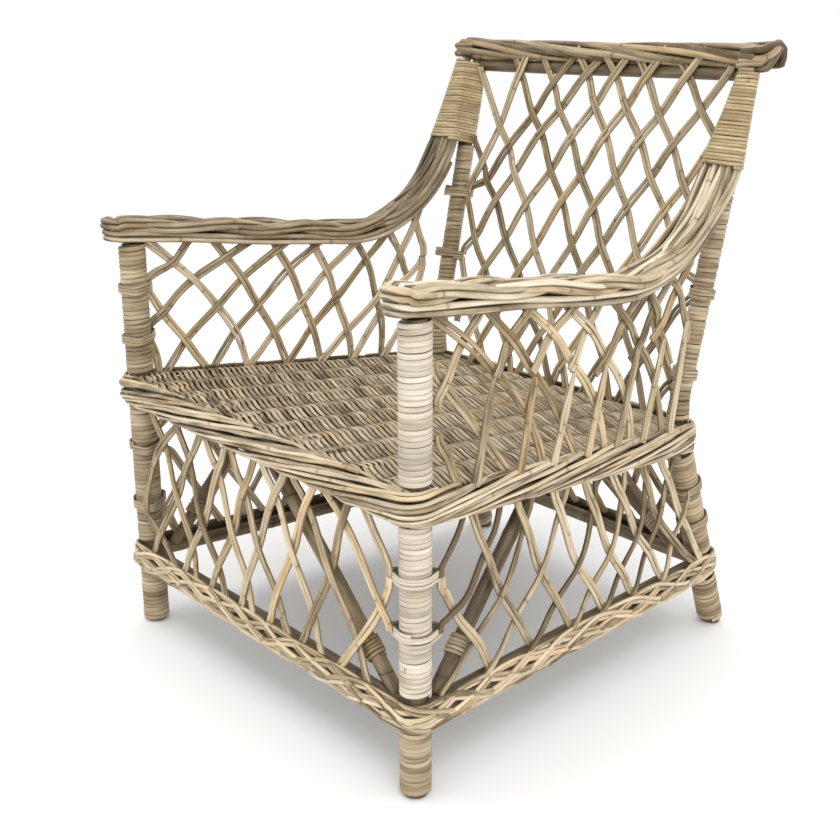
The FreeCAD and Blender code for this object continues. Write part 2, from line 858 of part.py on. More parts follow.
class Panel:
    """A lattice field between a lower and an upper edge, each a function of a share."""

    def __init__(self, lower, upper, pitch_count, travel_share, inset):
        self.lower = lower
        self.upper = upper
        self.pitch = 1 / pitch_count
        self.travel = travel_share
        width = (lower(1) - lower(0)).Length
        self.margin = (inset + strand_width * edge_strand_share) / width

    def point(self, share, height):
        return between(self.lower(share), self.upper(share), height)

    def frame(self, share, height):
        """Ways along the panel and level out of it at a place."""
        step = self.pitch / 2
        across = unit(self.point(share + step, height) - self.point(share - step, height))
        return across, unit(across.cross(Vector(0, 0, 1)))

    def strand_lines(self):
        """Number and lean of every strand, both families."""
        reach = int((1 + self.travel) / self.pitch) + 2
        for lean in (1, -1):
            for index in range(-reach, 2 * reach):
                yield index, lean

    def start_share(self, index, lean):
        phase = 1 / 4 if lean > 0 else 3 / 4
        return (index + phase) * self.pitch

    def share_at(self, index, lean, height):
        return self.start_share(index, lean) + lean * self.travel * height

    def crossings(self, index, lean):
        """Heights where other strands cross this one, with 1 where it passes outside."""
        reach = int((1 + self.travel) / self.pitch) + 2
        found = []
        for other in range(-2 * reach, 3 * reach):
            gap = self.start_share(other, -lean) - self.start_share(index, lean)
            height = gap / (2 * lean * self.travel)
            over = 1 if (index + other) % 2 == 0 else -1
            found.append((height, over * lean))
        return sorted(found)

    def limits(self, index, lean):
        """The heights between which a strand lies inside the panel."""
        edges = [(self.margin - self.start_share(index, lean)) / (lean * self.travel),
                 (1 - self.margin - self.start_share(index, lean)) / (lean * self.travel)]
        return max(0, min(edges)), min(1, max(edges))

    def weave_rise(self):
        """How far a strand leaves the middle plane, so that crossing strands just clear.

        Two strands lie over each other for a share of the run between crossings, and the
        offset falls in a straight line from one side to the other over that run.
        """
        spacing = self.pitch / (2 * self.travel)
        overlap = 0
        for column in range(1, sample_count):
            for row in range(1, sample_count):
                share = column / sample_count
                height = row / sample_count
                here = self.point(share, height)
                left = self.point(share - self.pitch / 2, height + spacing) - here
                right = self.point(share + self.pitch / 2, height + spacing) - here
                reach = strand_width / 2 / math.sin(left.getAngle(right) / 2)
                overlap = max(overlap, 2 * reach / (left + right).Length)
        return (strand_thickness + weave_gap) / (2 * (1 - 2 * overlap))

    def strands(self):
        rise = self.weave_rise()
        shapes = []
        for index, lean in self.strand_lines():
            low, high = self.limits(index, lean)
            if high - low < shortest_strand_share:
                continue
            knots = self.crossings(index, lean)
            heights = [low] + [h for h, _ in knots if low + near_share < h < high - near_share] + [high]
            wires = []
            for height in heights:
                wires.append(self.section(index, lean, height, rise * weave_offset(knots, height)))
            shapes.append(solid_of(Part.makeLoft(wires, True, True)))
        return shapes

    def section(self, index, lean, height, offset):
        """A strand's section, cut level with the panel's edges."""
        share = self.share_at(index, lean, height)
        across, out = self.frame(share, height)
        step = self.pitch / 2
        ahead = self.point(self.share_at(index, lean, height + step), height + step)
        behind = self.point(self.share_at(index, lean, height - step), height - step)
        slant = math.sin((ahead - behind).getAngle(across))
        wide = across * (strand_width / 2 / slant)
        deep = out * (strand_thickness / 2)
        centre = self.point(share, height) + out * offset
        corners = [centre + wide + deep, centre - wide + deep, centre - wide - deep, centre + wide - deep]
        return Part.makePolygon(corners + corners[:1])


sample_count = 6
near_share = 0.02
edge_strand_share = 0.65


def weave_offset(knots, height):
    """Out at one crossing and in at the next, in a straight run between them."""
    for (low, low_side), (high, high_side) in zip(knots, knots[1:]):
        if low <= height <= high:
            return low_side + (high_side - low_side) * (height - low) / (high - low)
    return 0


def edge_line(start, end):
    def place(share):
        return between(start, end, share)

    return place


lattice_stand = bottom_rail_diameter / 2 + lattice_half_depth


def lower_panel(side, pitch_count, travel_share):
    """The field between the bottom border and the seat border on one side."""
    first, second = side_posts[side]
    low = bottom_rail_height + bottom_border_height / 2 + fit_gap
    drop = Vector(0, 0, seat_border_height / 2 + fit_gap)
    starts = []
    for name in (first, second):
        starts.append((post_point(name, low), post_point(name, seat_border_middles[name]) - drop))
    out = outward_normal(starts[0][0], starts[1][0]) * lattice_stand
    lower = edge_line(starts[0][0] + out, starts[1][0] + out)
    upper = edge_line(starts[0][1] + out, starts[1][1] + out)
    return Panel(lower, upper, pitch_count, travel_share, bound_radius + tie_thickness)


def border_top_edge(side):
    """The line along the top of the seat border where the upper lattices start."""
    rise = Vector(0, 0, seat_border_height / 2 + fit_gap)
    start, end = [post_point(name, seat_border_middles[name]) + rise for name in side_posts[side]]
    out = outward_normal(start, end) * lattice_stand
    return start + out, end + out


def back_panel():
    start, end = border_top_edge("rear")
    height = rear_post_height - crest_rail_diameter - fit_gap
    upper = edge_line(post_point("rear_left", height), post_point("rear_right", height))
    return Panel(edge_line(start, end), upper, back_pitch_count, back_travel_share,
                 bound_radius + tie_thickness)


def arm_underside(side):
    """The line under the arm's pole, by the share of the way from the front post to the rear."""
    start, corner, top, radius = arm_path(side, 0, 0)
    arc = bend_arc(start, corner, top, radius)
    curve = arc.toShape()
    front, along, normal = arm_plane(side)
    span = (rear_post_point(side, seat_rear_height) - front).dot(along)
    below = arm_pole_diameter / 2 + fit_gap
    way = unit(arc.StartPoint - start)
    drop = unit(way.cross(normal)) * -below
    flat_end = (arc.StartPoint - front).dot(along)
    sag = way.getAngle(along)

    def place(share):
        run = span * share
        if run <= flat_end:
            return start + way * (run / way.dot(along)) + drop
        turn = sag + math.asin((run - flat_end) / (radius + below) - math.sin(sag))
        parameter = curve.FirstParameter + turn
        tangent = curve.tangentAt(parameter)
        return curve.valueAt(parameter) - unit(tangent.cross(normal)) * below

    return place


def upper_side_panel(side):
    name = "left" if side > 0 else "right"
    start, end = border_top_edge(name)
    if name == "right":
        start, end = end, start
    return Panel(edge_line(start, end), arm_underside(side), upper_pitch_count, upper_travel_share,
                 bound_radius + tie_thickness)


# Heights of the small ties that hold lattice ends to each post, as shares of the
# lower bound length and of the upper one
tie_height_shares = {
    "front_left": ((0.34, 0.66), ()),
    "front_right": ((0.26, 0.67), (0.24, 0.63)),
    "rear_right": ((0.34, 0.66), (0.46, 0.75)),
    "rear_left": ((0.28, 0.62), (0.18, 0.50)),
}


def tie_shapes(names):
    shapes = []
    for name in names:
        for (low, high), shares in zip((lower_span(name), upper_span(name)), tie_height_shares[name]):
            for share in shares:
                middle = low + (high - low) * share
                stations = post_axis(name, middle, middle + tie_height)
                bound = back_bound_radius if is_back(name, middle) else bound_radius
                inner_radii = [bound * tie_room + fit_gap] * len(stations)
                shapes.append(sleeve(stations, inner_radii, tie_thickness, tie_sides))
    return shapes


def rim_rise(name, height):
    """How far one side of a binding's end stands above its middle, where the post leans."""
    foot = post_point(name, height - post_radius)
    lean = post_point(name, height + post_radius) - foot
    return bound_radius * math.sin(lean.getAngle(Vector(0, 0, 1))) + binding_end_gap


def foot_span(name):
    top = bottom_rail_height - bottom_border_height / 2
    return rim_rise(name, post_radius), top - rim_rise(name, bottom_rail_height)


def lower_span(name):
    low = bottom_rail_height + bottom_border_height / 2 + rim_rise(name, bottom_rail_height)
    high = min(seat_rail_point(name).z - seat_rail_radius, seat_border_middles[name] - seat_border_height / 2)
    return low, high - rim_rise(name, bottom_rail_height)


def upper_span(name):
    low = seat_border_middles[name] + seat_border_height / 2
    high = front_post_height if name.startswith("front") else shoulder_low_height
    return low + rim_rise(name, seat_height(name) + seat_border_height), high - binding_end_gap


def foot_binding_shape(name):
    """Turns on the front feet, and a plain sleeve on the rear ones."""
    if name.startswith("rear"):
        return post_sleeve(name, *foot_span(name))
    start, way, length = binding_axis(name, *foot_span(name))
    inner_radius = post_reach + fit_gap
    return wound_binding(start, way, length, inner_radius, bound_radius - inner_radius,
                         foot_turn_count, foot_turn_gap)


def build_posts():
    for name in post_names:
        where, side = name.split("_")
        save(f"{where}_post_{side}", [post_shape(name)])
        save(f"{where}_lower_binding_{side}", [post_sleeve(name, *lower_span(name))])
        save(f"{where}_upper_binding_{side}", [post_sleeve(name, *upper_span(name))])
    save("foot_bindings", [foot_binding_shape(name) for name in post_names])
    for where in ("front", "rear"):
        save(f"{where}_post_ties", tie_shapes([name for name in post_names if name.startswith(where)]))


def build_seat():
    for side in side_names:
        save(f"seat_rail_{side}", [seat_rail_shape(side)])
        save(f"bottom_rail_{side}", [bottom_rail_shape(side)])
        save(f"brace_{side}", [brace_shape(side)])
        save(f"seat_border_{side}", [border_shape(side, seat_border_middles, seat_border_height)])
        save(f"bottom_border_{side}", [border_shape(side, bottom_border_middles, bottom_border_height)])
    save("brace_lashings", [lashing_shape(side) for side in side_names])
    save("seat_bearers", bearer_shapes())
    save("seat_stakes", stake_shapes())
    save("seat_weave", [weave_shape()])


def build_arms():
    for name, side in (("left", 1), ("right", -1)):
        save(f"arm_pole_{name}", [arm_pole_shape(side)])
        save(f"arm_plait_{name}", [arm_plait_shape(side)])
        save(f"arm_under_strands_{name}", arm_strand_shapes(side))
        save(f"upper_lattice_{name}", upper_side_panel(side).strands())
    save("shoulder_wraps", [shoulder_wrap_shape(side) for side in (1, -1)])


def build_lattices():
    save("back_lattice", back_panel().strands())
    save("lower_lattice_front", lower_panel("front", front_pitch_count, front_travel_share).strands())
    save("lower_lattice_rear", lower_panel("rear", lower_pitch_count, rear_travel_share).strands())
    for side in ("left", "right"):
        save(f"lower_lattice_{side}", lower_panel(side, lower_pitch_count, lower_travel_share).strands())


def main():
    os.makedirs("parts", exist_ok=True)
    build_posts()
    build_seat()
    build_arms()
    save("crest_rail", [crest_rail_shape()])
    save("crest_plait", [crest_plait_shape()])
    build_lattices()


main()
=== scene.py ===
import bpy
import math
import random
import numpy as np
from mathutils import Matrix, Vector


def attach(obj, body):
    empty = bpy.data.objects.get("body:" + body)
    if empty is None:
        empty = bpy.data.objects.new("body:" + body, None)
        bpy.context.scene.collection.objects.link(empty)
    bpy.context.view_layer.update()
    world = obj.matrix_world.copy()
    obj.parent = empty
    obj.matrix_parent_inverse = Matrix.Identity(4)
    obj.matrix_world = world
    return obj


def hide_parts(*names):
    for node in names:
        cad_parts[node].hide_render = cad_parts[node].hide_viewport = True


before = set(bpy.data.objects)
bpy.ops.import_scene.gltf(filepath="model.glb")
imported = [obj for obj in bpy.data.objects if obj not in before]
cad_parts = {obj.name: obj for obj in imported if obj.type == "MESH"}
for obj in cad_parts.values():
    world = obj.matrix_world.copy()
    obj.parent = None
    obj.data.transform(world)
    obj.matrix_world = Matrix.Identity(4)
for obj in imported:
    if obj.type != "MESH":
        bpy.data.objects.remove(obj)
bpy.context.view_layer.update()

# Post lines of the chair, in metres: the rear posts bend once at seat height
posts = {
    "frontX": 0.326, "frontY": -0.32575, "frontTop": 0.615,
    "rearFoot": (0.268, 0.35525), "rearBend": (0.269, 0.22625), "rearTop": (0.279, 0.33525),
    "bendHeight": 0.364, "rearHeight": 0.868, "bendReach": 0.0568,
    "radius": 0.015, "backRadius": 0.0105, "boundRadius": 0.0205, "backBoundRadius": 0.0152,
}
cornerNames = ("frontRight", "frontLeft", "rearLeft", "rearRight")
nodeEnding = {"frontRight": ("front", "right"), "frontLeft": ("front", "left"),
              "rearLeft": ("rear", "left"), "rearRight": ("rear", "right")}


def unit(v):
    v = np.asarray(v, float)
    return v / np.maximum(np.linalg.norm(v, axis=-1, keepdims=True), 1e-9)


def sideOf(corner):
    return 1 if corner.endswith("Left") else -1


def mixed(a, b, share):
    return np.asarray(a, float) * (1 - share) + np.asarray(b, float) * share


def rearStations(side):
    return [np.array((side * xy[0], xy[1], z)) for xy, z in (
        (posts["rearFoot"], 0.0), (posts["rearBend"], posts["bendHeight"]), (posts["rearTop"], posts["rearHeight"]))]


def postPoint(corner, z):
    side = sideOf(corner)
    if corner.startswith("front"):
        return np.array((side * posts["frontX"], posts["frontY"], z))
    foot, bend, top = rearStations(side)
    low = bend + unit(foot - bend) * posts["bendReach"]
    high = bend + unit(top - bend) * posts["bendReach"]
    if z <= low[2]:
        return mixed(foot, bend, z / bend[2])
    if z >= high[2]:
        return mixed(bend, top, (z - bend[2]) / (top[2] - bend[2]))
    # the bend is a short curve from low to high, pulled towards the corner
    a, b, c = low[2] - 2 * bend[2] + high[2], 2 * (bend[2] - low[2]), low[2] - z
    t = (-b + math.sqrt(b * b - 4 * a * c)) / (2 * a) if abs(a) > 1e-6 else -c / b
    return low * (1 - t) ** 2 + bend * 2 * t * (1 - t) + high * t * t


def thinned(corner, z, full, back):
    # a rear post and its winding are thinner above the bend
    return full if corner.startswith("front") else np.interp(z, (0.325, 0.40), (full, back))


def postRadius(corner, z):
    return thinned(corner, z, posts["radius"], posts["backRadius"])


def boundRadius(corner, z):
    return thinned(corner, z, posts["boundRadius"], posts["backBoundRadius"])


def postWay(corner, z):
    return unit(postPoint(corner, z + 0.002) - postPoint(corner, z - 0.002))


# Lines

def resampled(line, step):
    line = np.asarray(line, float)
    runs = np.concatenate([[0], np.cumsum(np.linalg.norm(np.diff(line, axis=0), axis=1))])
    count = max(3, int(math.ceil(runs[-1] / step)) + 1)
    wanted = np.linspace(0, runs[-1], count)
    return np.stack([np.interp(wanted, runs, line[:, k]) for k in range(3)], axis=1)


def smoothLine(points, step):
    p = np.asarray(points, float)
    padded = np.vstack([2 * p[0] - p[1], p, 2 * p[-1] - p[-2]])
    t = np.linspace(0, 1, 9)[:-1][:, None]
    pieces = []
    for i in range(len(p) - 1):
        a, b, c, d = padded[i:i + 4]
        pieces.append(0.5 * (2 * b + (c - a) * t + (2 * a - 5 * b + 4 * c - d) * t ** 2
                             + (3 * b - a - 3 * c + d) * t ** 3))
    return resampled(np.vstack(pieces + [p[-1:]]), step)


def transported(tangents, first):
    # carries one side way along a line without twisting it
    ways = [unit(first - tangents[0] * np.dot(first, tangents[0]))]
    for tangent in tangents[1:]:
        way = ways[-1] - tangent * np.dot(ways[-1], tangent)
        ways.append(unit(way))
    return np.array(ways)


# Canes

class CaneBundle:
    # many canes in one piece; every point knows its place on its cane and the cane's tone
    def __init__(self, name, sides=8, ringSpacing=0.11, knuckle=0.0, boxy=1.0):
        self.name = name
        self.sides = sides
        self.ringSpacing = ringSpacing
        self.knuckle = knuckle
        self.boxy = boxy
        self.points, self.coords, self.tones, self.quads, self.caps = [], [], [], [], []
        self.total = 0
        self.dice = random.Random(name)

    def addCane(self, line, radius, outward=None, flatness=1.0, tone=None, hue=None, stainAndShade=0.0, blunt=0.3):
        line = np.asarray(line, float)
        count = len(line)
        tangents = unit(np.gradient(line, axis=0))
        if outward is None:
            first = np.array((0, 0, 1.0)) if abs(tangents[0][2]) < 0.9 else np.array((1.0, 0, 0))
            normals = transported(tangents, first)
        else:
            outward = np.broadcast_to(np.asarray(outward, float), (count, 3))
            normals = unit(outward - tangents * np.sum(outward * tangents, axis=1, keepdims=True))
        asides = np.cross(tangents, normals)
        along = np.concatenate([[0], np.cumsum(np.linalg.norm(np.diff(line, axis=0), axis=1))])
        along = along + self.dice.uniform(0, 40 * self.ringSpacing)
        radii = np.broadcast_to(np.asarray(radius, float), (count,)).copy()
        if self.knuckle:
            away = np.abs((along / self.ringSpacing) % 1 - 0.5) * self.ringSpacing
            radii *= 1 + self.knuckle * np.exp(-(away / 0.004) ** 2)
        tone = self.dice.uniform(-1, 1) if tone is None else tone
        hue = self.dice.uniform(-1, 1) if hue is None else hue
        tones = np.broadcast_to(np.asarray(tone, float), (count,))
        # the third mark darkens a cane towards the scar colour: real stains on the windings, and painted shade on canes
        # that lie under or inside others
        stainsAndShade = np.broadcast_to(np.asarray(stainAndShade, float), (count,))
        # an end is cut off blunt, with its rim a little rounded
        line = np.vstack([line[0] - tangents[0] * radii[0] * blunt, line, line[-1] + tangents[-1] * radii[-1] * blunt])
        normals = np.vstack([normals[:1], normals, normals[-1:]])
        asides = np.vstack([asides[:1], asides, asides[-1:]])
        radii = np.concatenate([[radii[0] * 0.72], radii, [radii[-1] * 0.72]])
        along = np.concatenate([along[:1], along, along[-1:]])
        tones = np.concatenate([tones[:1], tones, tones[-1:]])
        stainsAndShade = np.concatenate([[-1], stainsAndShade, [-1]])
        angles = np.arange(self.sides) * 2 * math.pi / self.sides
        c, s = [np.sign(v) * np.abs(v) ** self.boxy for v in (np.cos(angles), np.sin(angles))]
        rings = line[:, None, :] + (normals[:, None, :] * (c * flatness)[None, :, None]
                                    + asides[:, None, :] * s[None, :, None]) * radii[:, None, None]
        places = np.stack([c[None, :] * radii[:, None], s[None, :] * radii[:, None],
                           np.repeat(along[:, None], self.sides, 1)], axis=2)
        hues = np.full(len(line), float(hue))
        marks = np.repeat(np.stack([tones, hues, stainsAndShade], axis=1)[:, None, :], self.sides, 1)
        rows = len(line)
        base = self.total
        ring = np.arange(self.sides)
        after = (ring + 1) % self.sides
        starts = base + np.arange(rows - 1)[:, None] * self.sides
        quads = np.stack([starts + ring, starts + after, starts + self.sides + after,
                          starts + self.sides + ring], axis=2).reshape(-1, 4)
        first, last = base + rows * self.sides, base + rows * self.sides + 1
        tail = base + (rows - 1) * self.sides
        caps = np.vstack([np.stack([np.full(self.sides, first), base + after, base + ring], axis=1),
                          np.stack([np.full(self.sides, last), tail + ring, tail + after], axis=1)])
        ends = np.vstack([line[0], line[-1]])
        self.points += [rings.reshape(-1, 3), ends]
        self.coords += [places.reshape(-1, 3), np.array([(0, 0, along[0]), (0, 0, along[-1])])]
        self.tones += [marks.reshape(-1, 3), np.array([(tones[0], hue, -1), (tones[-1], hue, -1)])]
        self.quads.append(quads)
        self.caps.append(caps)
        self.total += rows * self.sides + 2

    def finishPiece(self, material, nodes):
        mesh = bpy.data.meshes.new(self.name)
        points = np.concatenate(self.points)
        points[:, 2] = np.maximum(points[:, 2], 0.0005)
        quads, caps = np.concatenate(self.quads), np.concatenate(self.caps)
        mesh.vertices.add(len(points))
        mesh.vertices.foreach_set("co", points.astype(np.float32).ravel())
        corners = np.concatenate([quads.ravel(), caps.ravel()]).astype(np.int32)
        mesh.loops.add(len(corners))
        mesh.loops.foreach_set("vertex_index", corners)
        starts = np.concatenate([np.arange(len(quads)) * 4, len(quads) * 4 + np.arange(len(caps)) * 3])
        mesh.polygons.add(len(starts))
        mesh.polygons.foreach_set("loop_start", starts.astype(np.int32))
        mesh.update(calc_edges=True)
        mesh.validate()
        mesh.shade_smooth()
        for attribute, values in (("caneCoord", self.coords), ("caneTone", self.tones)):
            layer = mesh.attributes.new(attribute, "FLOAT_VECTOR", "POINT")
            layer.data.foreach_set("vector", np.concatenate(values).astype(np.float32).ravel())
        piece = bpy.data.objects.new(self.name, mesh)
        bpy.context.scene.collection.objects.link(piece)
        mesh.materials.append(material)
        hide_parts(*nodes)
        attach(piece, "root")
        print(self.name, len(points), "points")
        return piece


# Materials

def linear(colour):
    return tuple(((v / 255) / 12.92 if v / 255 <= 0.04045 else ((v / 255 + 0.055) / 1.055) ** 2.4)
                 for v in colour) + (1.0,)


def newGroup(name, inputs, outputs):
    group = bpy.data.node_groups.new(name, "ShaderNodeTree")
    for label, kind, value in inputs:
        socket = group.interface.new_socket(name=label, in_out="INPUT", socket_type=kind)
        if value is not None:
            socket.default_value = value
    for label, kind in outputs:
        group.interface.new_socket(name=label, in_out="OUTPUT", socket_type=kind)
    return group, group.nodes.new("NodeGroupInput"), group.nodes.new("NodeGroupOutput")


def mathNode(tree, operation, a, b=None, c=None, clamp=False):
    node = tree.nodes.new("ShaderNodeMath")
    node.operation = operation
    node.use_clamp = clamp
    for socket, value in zip(node.inputs, (a, b, c)):
        if value is None:
            continue
        if isinstance(value, (int, float)):
            socket.default_value = value
        else:
            tree.links.new(value, socket)
    return node.outputs[0]


def rangeNode(tree, value, low, high, outLow=0.0, outHigh=1.0, smooth=False):
    node = tree.nodes.new("ShaderNodeMapRange")
    if smooth:
        node.interpolation_type = "SMOOTHSTEP"
    tree.links.new(value, node.inputs[0])
    for socket, given in zip(list(node.inputs)[1:5], (low, high, outLow, outHigh)):
        if isinstance(given, (int, float)):
            socket.default_value = given
        else:
            tree.links.new(given, socket)
    return node.outputs[0]


def mixColours(tree, share, a, b, blend="MIX"):
    node = tree.nodes.new("ShaderNodeMix")
    node.data_type = "RGBA"
    node.blend_type = blend
    for socket, value in ((node.inputs[0], share), (node.inputs[6], a), (node.inputs[7], b)):
        if isinstance(value, (int, float, tuple)):
            socket.default_value = value
        else:
            tree.links.new(value, socket)
    return node.outputs[2]


def stretchedNoise(tree, coord, across, alongScale, detail, roughness):
    scaled = tree.nodes.new("ShaderNodeVectorMath")
    scaled.operation = "MULTIPLY"
    tree.links.new(coord, scaled.inputs[0])
    if isinstance(across, (int, float)):
        scaled.inputs[1].default_value = (across, across, alongScale)
    else:
        combine = tree.nodes.new("ShaderNodeCombineXYZ")
        tree.links.new(across, combine.inputs[0])
        tree.links.new(across, combine.inputs[1])
        combine.inputs[2].default_value = alongScale
        tree.links.new(combine.outputs[0], scaled.inputs[1])
    noise = tree.nodes.new("ShaderNodeTexNoise")
    noise.inputs["Scale"].default_value = 1.0
    noise.inputs["Detail"].default_value = detail
    noise.inputs["Roughness"].default_value = roughness
    tree.links.new(scaled.outputs[0], noise.inputs["Vector"])
    return noise.outputs["Fac"]


# Long fibres, soft blotches and a fine relief, laid along each cane
fibreGroup, fibreIn, fibreOut = newGroup(
    "caneFibres",
    [("Cane Coord", "NodeSocketVector", None), ("Fibre Fineness", "NodeSocketFloat", 900.0)],
    [("Streak", "NodeSocketFloat"), ("Blotch", "NodeSocketFloat"), ("Relief", "NodeSocketFloat")])
streak = stretchedNoise(fibreGroup, fibreIn.outputs[0], fibreIn.outputs[1], 14.0, 3.0, 0.62)
blotch = stretchedNoise(fibreGroup, fibreIn.outputs[0], 90.0, 16.0, 3.0, 0.6)
pits = stretchedNoise(fibreGroup, fibreIn.outputs[0], 700.0, 160.0, 2.0, 0.6)
relief = mathNode(fibreGroup, "ADD", mathNode(fibreGroup, "MULTIPLY", streak, 0.7),
                  mathNode(fibreGroup, "MULTIPLY", pits, 0.3))
fibreGroup.links.new(rangeNode(fibreGroup, streak, 0.28, 0.72), fibreOut.inputs[0])
fibreGroup.links.new(rangeNode(fibreGroup, blotch, 0.3, 0.7), fibreOut.inputs[1])
fibreGroup.links.new(relief, fibreOut.inputs[2])

# The scar that each leaf sheath left round the cane, and the darker skin next to it
ringGroup, ringIn, ringOut = newGroup(
    "growthRings",
    [("Cane Coord", "NodeSocketVector", None), ("Ring Spacing", "NodeSocketFloat", 0.11),
     ("Ring Width", "NodeSocketFloat", 0.0012)],
    [("Ring", "NodeSocketFloat"), ("Near Ring", "NodeSocketFloat")])
parts = ringGroup.nodes.new("ShaderNodeSeparateXYZ")
ringGroup.links.new(ringIn.outputs[0], parts.inputs[0])
slanted = mathNode(ringGroup, "ADD", parts.outputs[2], mathNode(ringGroup, "MULTIPLY", parts.outputs[0], 0.35))
turnsAlong = mathNode(ringGroup, "DIVIDE", slanted, ringIn.outputs[1])
fromRing = mathNode(ringGroup, "MULTIPLY", mathNode(ringGroup, "ABSOLUTE", mathNode(
    ringGroup, "SUBTRACT", mathNode(ringGroup, "FRACT", turnsAlong), 0.5)), ringIn.outputs[1])
wideReach = mathNode(ringGroup, "MULTIPLY", ringIn.outputs[2], 6.0)
ringGroup.links.new(rangeNode(ringGroup, fromRing, ringIn.outputs[2], 0.0, smooth=True), ringOut.inputs[0])
ringGroup.links.new(rangeNode(ringGroup, fromRing, wideReach, 0.0, smooth=True), ringOut.inputs[1])

# Painted shade and old dirt in the grooves: the flanks of a cane that lies among others, away from its outer side, are
# darkened
grooveShadeGroup, grooveShadeIn, grooveShadeOut = newGroup(
    "caneGrooveShade",
    [("Cane Coord", "NodeSocketVector", None), ("Streak", "NodeSocketFloat", 0.5),
     ("Groove Depth", "NodeSocketFloat", 0.7), ("Two Faced", "NodeSocketFloat", 0.0)],
    [("Groove Shade", "NodeSocketFloat")])
sides3 = grooveShadeGroup.nodes.new("ShaderNodeSeparateXYZ")
grooveShadeGroup.links.new(grooveShadeIn.outputs[0], sides3.inputs[0])
girth = mathNode(grooveShadeGroup, "SQRT", mathNode(grooveShadeGroup, "ADD", mathNode(
    grooveShadeGroup, "MULTIPLY", sides3.outputs[0], sides3.outputs[0]), mathNode(
    grooveShadeGroup, "MULTIPLY", sides3.outputs[1], sides3.outputs[1])))
turned = mathNode(grooveShadeGroup, "DIVIDE", sides3.outputs[0], mathNode(grooveShadeGroup, "MAXIMUM", girth, 0.00001))
turned = mathNode(grooveShadeGroup, "MAXIMUM", turned, mathNode(grooveShadeGroup, "MULTIPLY", mathNode(
    grooveShadeGroup, "MULTIPLY", turned, -1.0), grooveShadeIn.outputs[3]))
turned = mathNode(grooveShadeGroup, "ADD", turned, mathNode(
    grooveShadeGroup, "MULTIPLY", mathNode(grooveShadeGroup, "SUBTRACT", grooveShadeIn.outputs[1], 0.5), 0.35))
grooveShadeGroup.links.new(mathNode(grooveShadeGroup, "MULTIPLY", rangeNode(
    grooveShadeGroup, turned, 0.66, -0.10, smooth=True), grooveShadeIn.outputs[2]), grooveShadeOut.inputs[0])

# The colour of a cane: dark to pale by its fibres, blotches and own tone, ochre or grey by its hue
colourGroup, colourIn, colourOut = newGroup(
    "caneColour",
    [("Pale", "NodeSocketColor", None), ("Body", "NodeSocketColor", None), ("Dark", "NodeSocketColor", None),
     ("Scar And Shade", "NodeSocketColor", None), ("Streak", "NodeSocketFloat", 0.5), ("Blotch", "NodeSocketFloat", 0.5),
     ("Ring", "NodeSocketFloat", 0.0), ("Near Ring", "NodeSocketFloat", 0.0), ("Groove Shade", "NodeSocketFloat", 0.0),
     ("Cane Tone", "NodeSocketVector", None), ("Tone Strength", "NodeSocketFloat", 0.2)],
    [("Colour", "NodeSocketColor")])
toneParts = colourGroup.nodes.new("ShaderNodeSeparateXYZ")
colourGroup.links.new(colourIn.outputs["Cane Tone"], toneParts.inputs[0])
level = mathNode(colourGroup, "ADD", mathNode(colourGroup, "MULTIPLY", colourIn.outputs["Streak"], 0.45),
                 mathNode(colourGroup, "MULTIPLY", colourIn.outputs["Blotch"], 0.55))
level = mathNode(colourGroup, "ADD", level, mathNode(
    colourGroup, "MULTIPLY", toneParts.outputs[0], colourIn.outputs["Tone Strength"]), clamp=True)
darkToBody = mixColours(colourGroup, rangeNode(colourGroup, level, 0.0, 0.5), colourIn.outputs["Dark"],
                        colourIn.outputs["Body"])
toPale = mixColours(colourGroup, rangeNode(colourGroup, level, 0.5, 1.0), darkToBody, colourIn.outputs["Pale"])
ochre = mixColours(colourGroup, rangeNode(colourGroup, toneParts.outputs[1], 0.0, 1.0, 0.0, 0.45), toPale,
                   linear((255, 232, 186)), "MULTIPLY")
grey = mixColours(colourGroup, rangeNode(colourGroup, toneParts.outputs[1], 0.0, -1.0, 0.0, 0.40), ochre,
                  linear((232, 228, 232)), "MULTIPLY")
besideRing = mixColours(colourGroup, mathNode(colourGroup, "MULTIPLY", colourIn.outputs["Near Ring"], 0.28), grey,
                        colourIn.outputs["Dark"])
scarred = mixColours(colourGroup, mathNode(colourGroup, "MULTIPLY", colourIn.outputs["Ring"], 0.8), besideRing,
                     colourIn.outputs["Scar And Shade"])
# painted shade with some old dirt: the flanks in the grooves are mixed towards the scar colour
grooveShaded = mixColours(colourGroup, colourIn.outputs["Groove Shade"], scarred, colourIn.outputs["Scar And Shade"])
# the third mark: real stains, and painted shade on canes that lie under or inside others; below zero it marks a cut end
stainedAndShaded = mixColours(colourGroup, rangeNode(colourGroup, toneParts.outputs[2], 0.0, 1.0, 0.0, 0.85), grooveShaded,
                     colourIn.outputs["Scar And Shade"])
cutEnd = mixColours(colourGroup, rangeNode(colourGroup, toneParts.outputs[2], 0.0, -1.0, 0.0, 0.55), stainedAndShaded,
                    colourIn.outputs["Dark"])
colourGroup.links.new(cutEnd, colourOut.inputs[0])
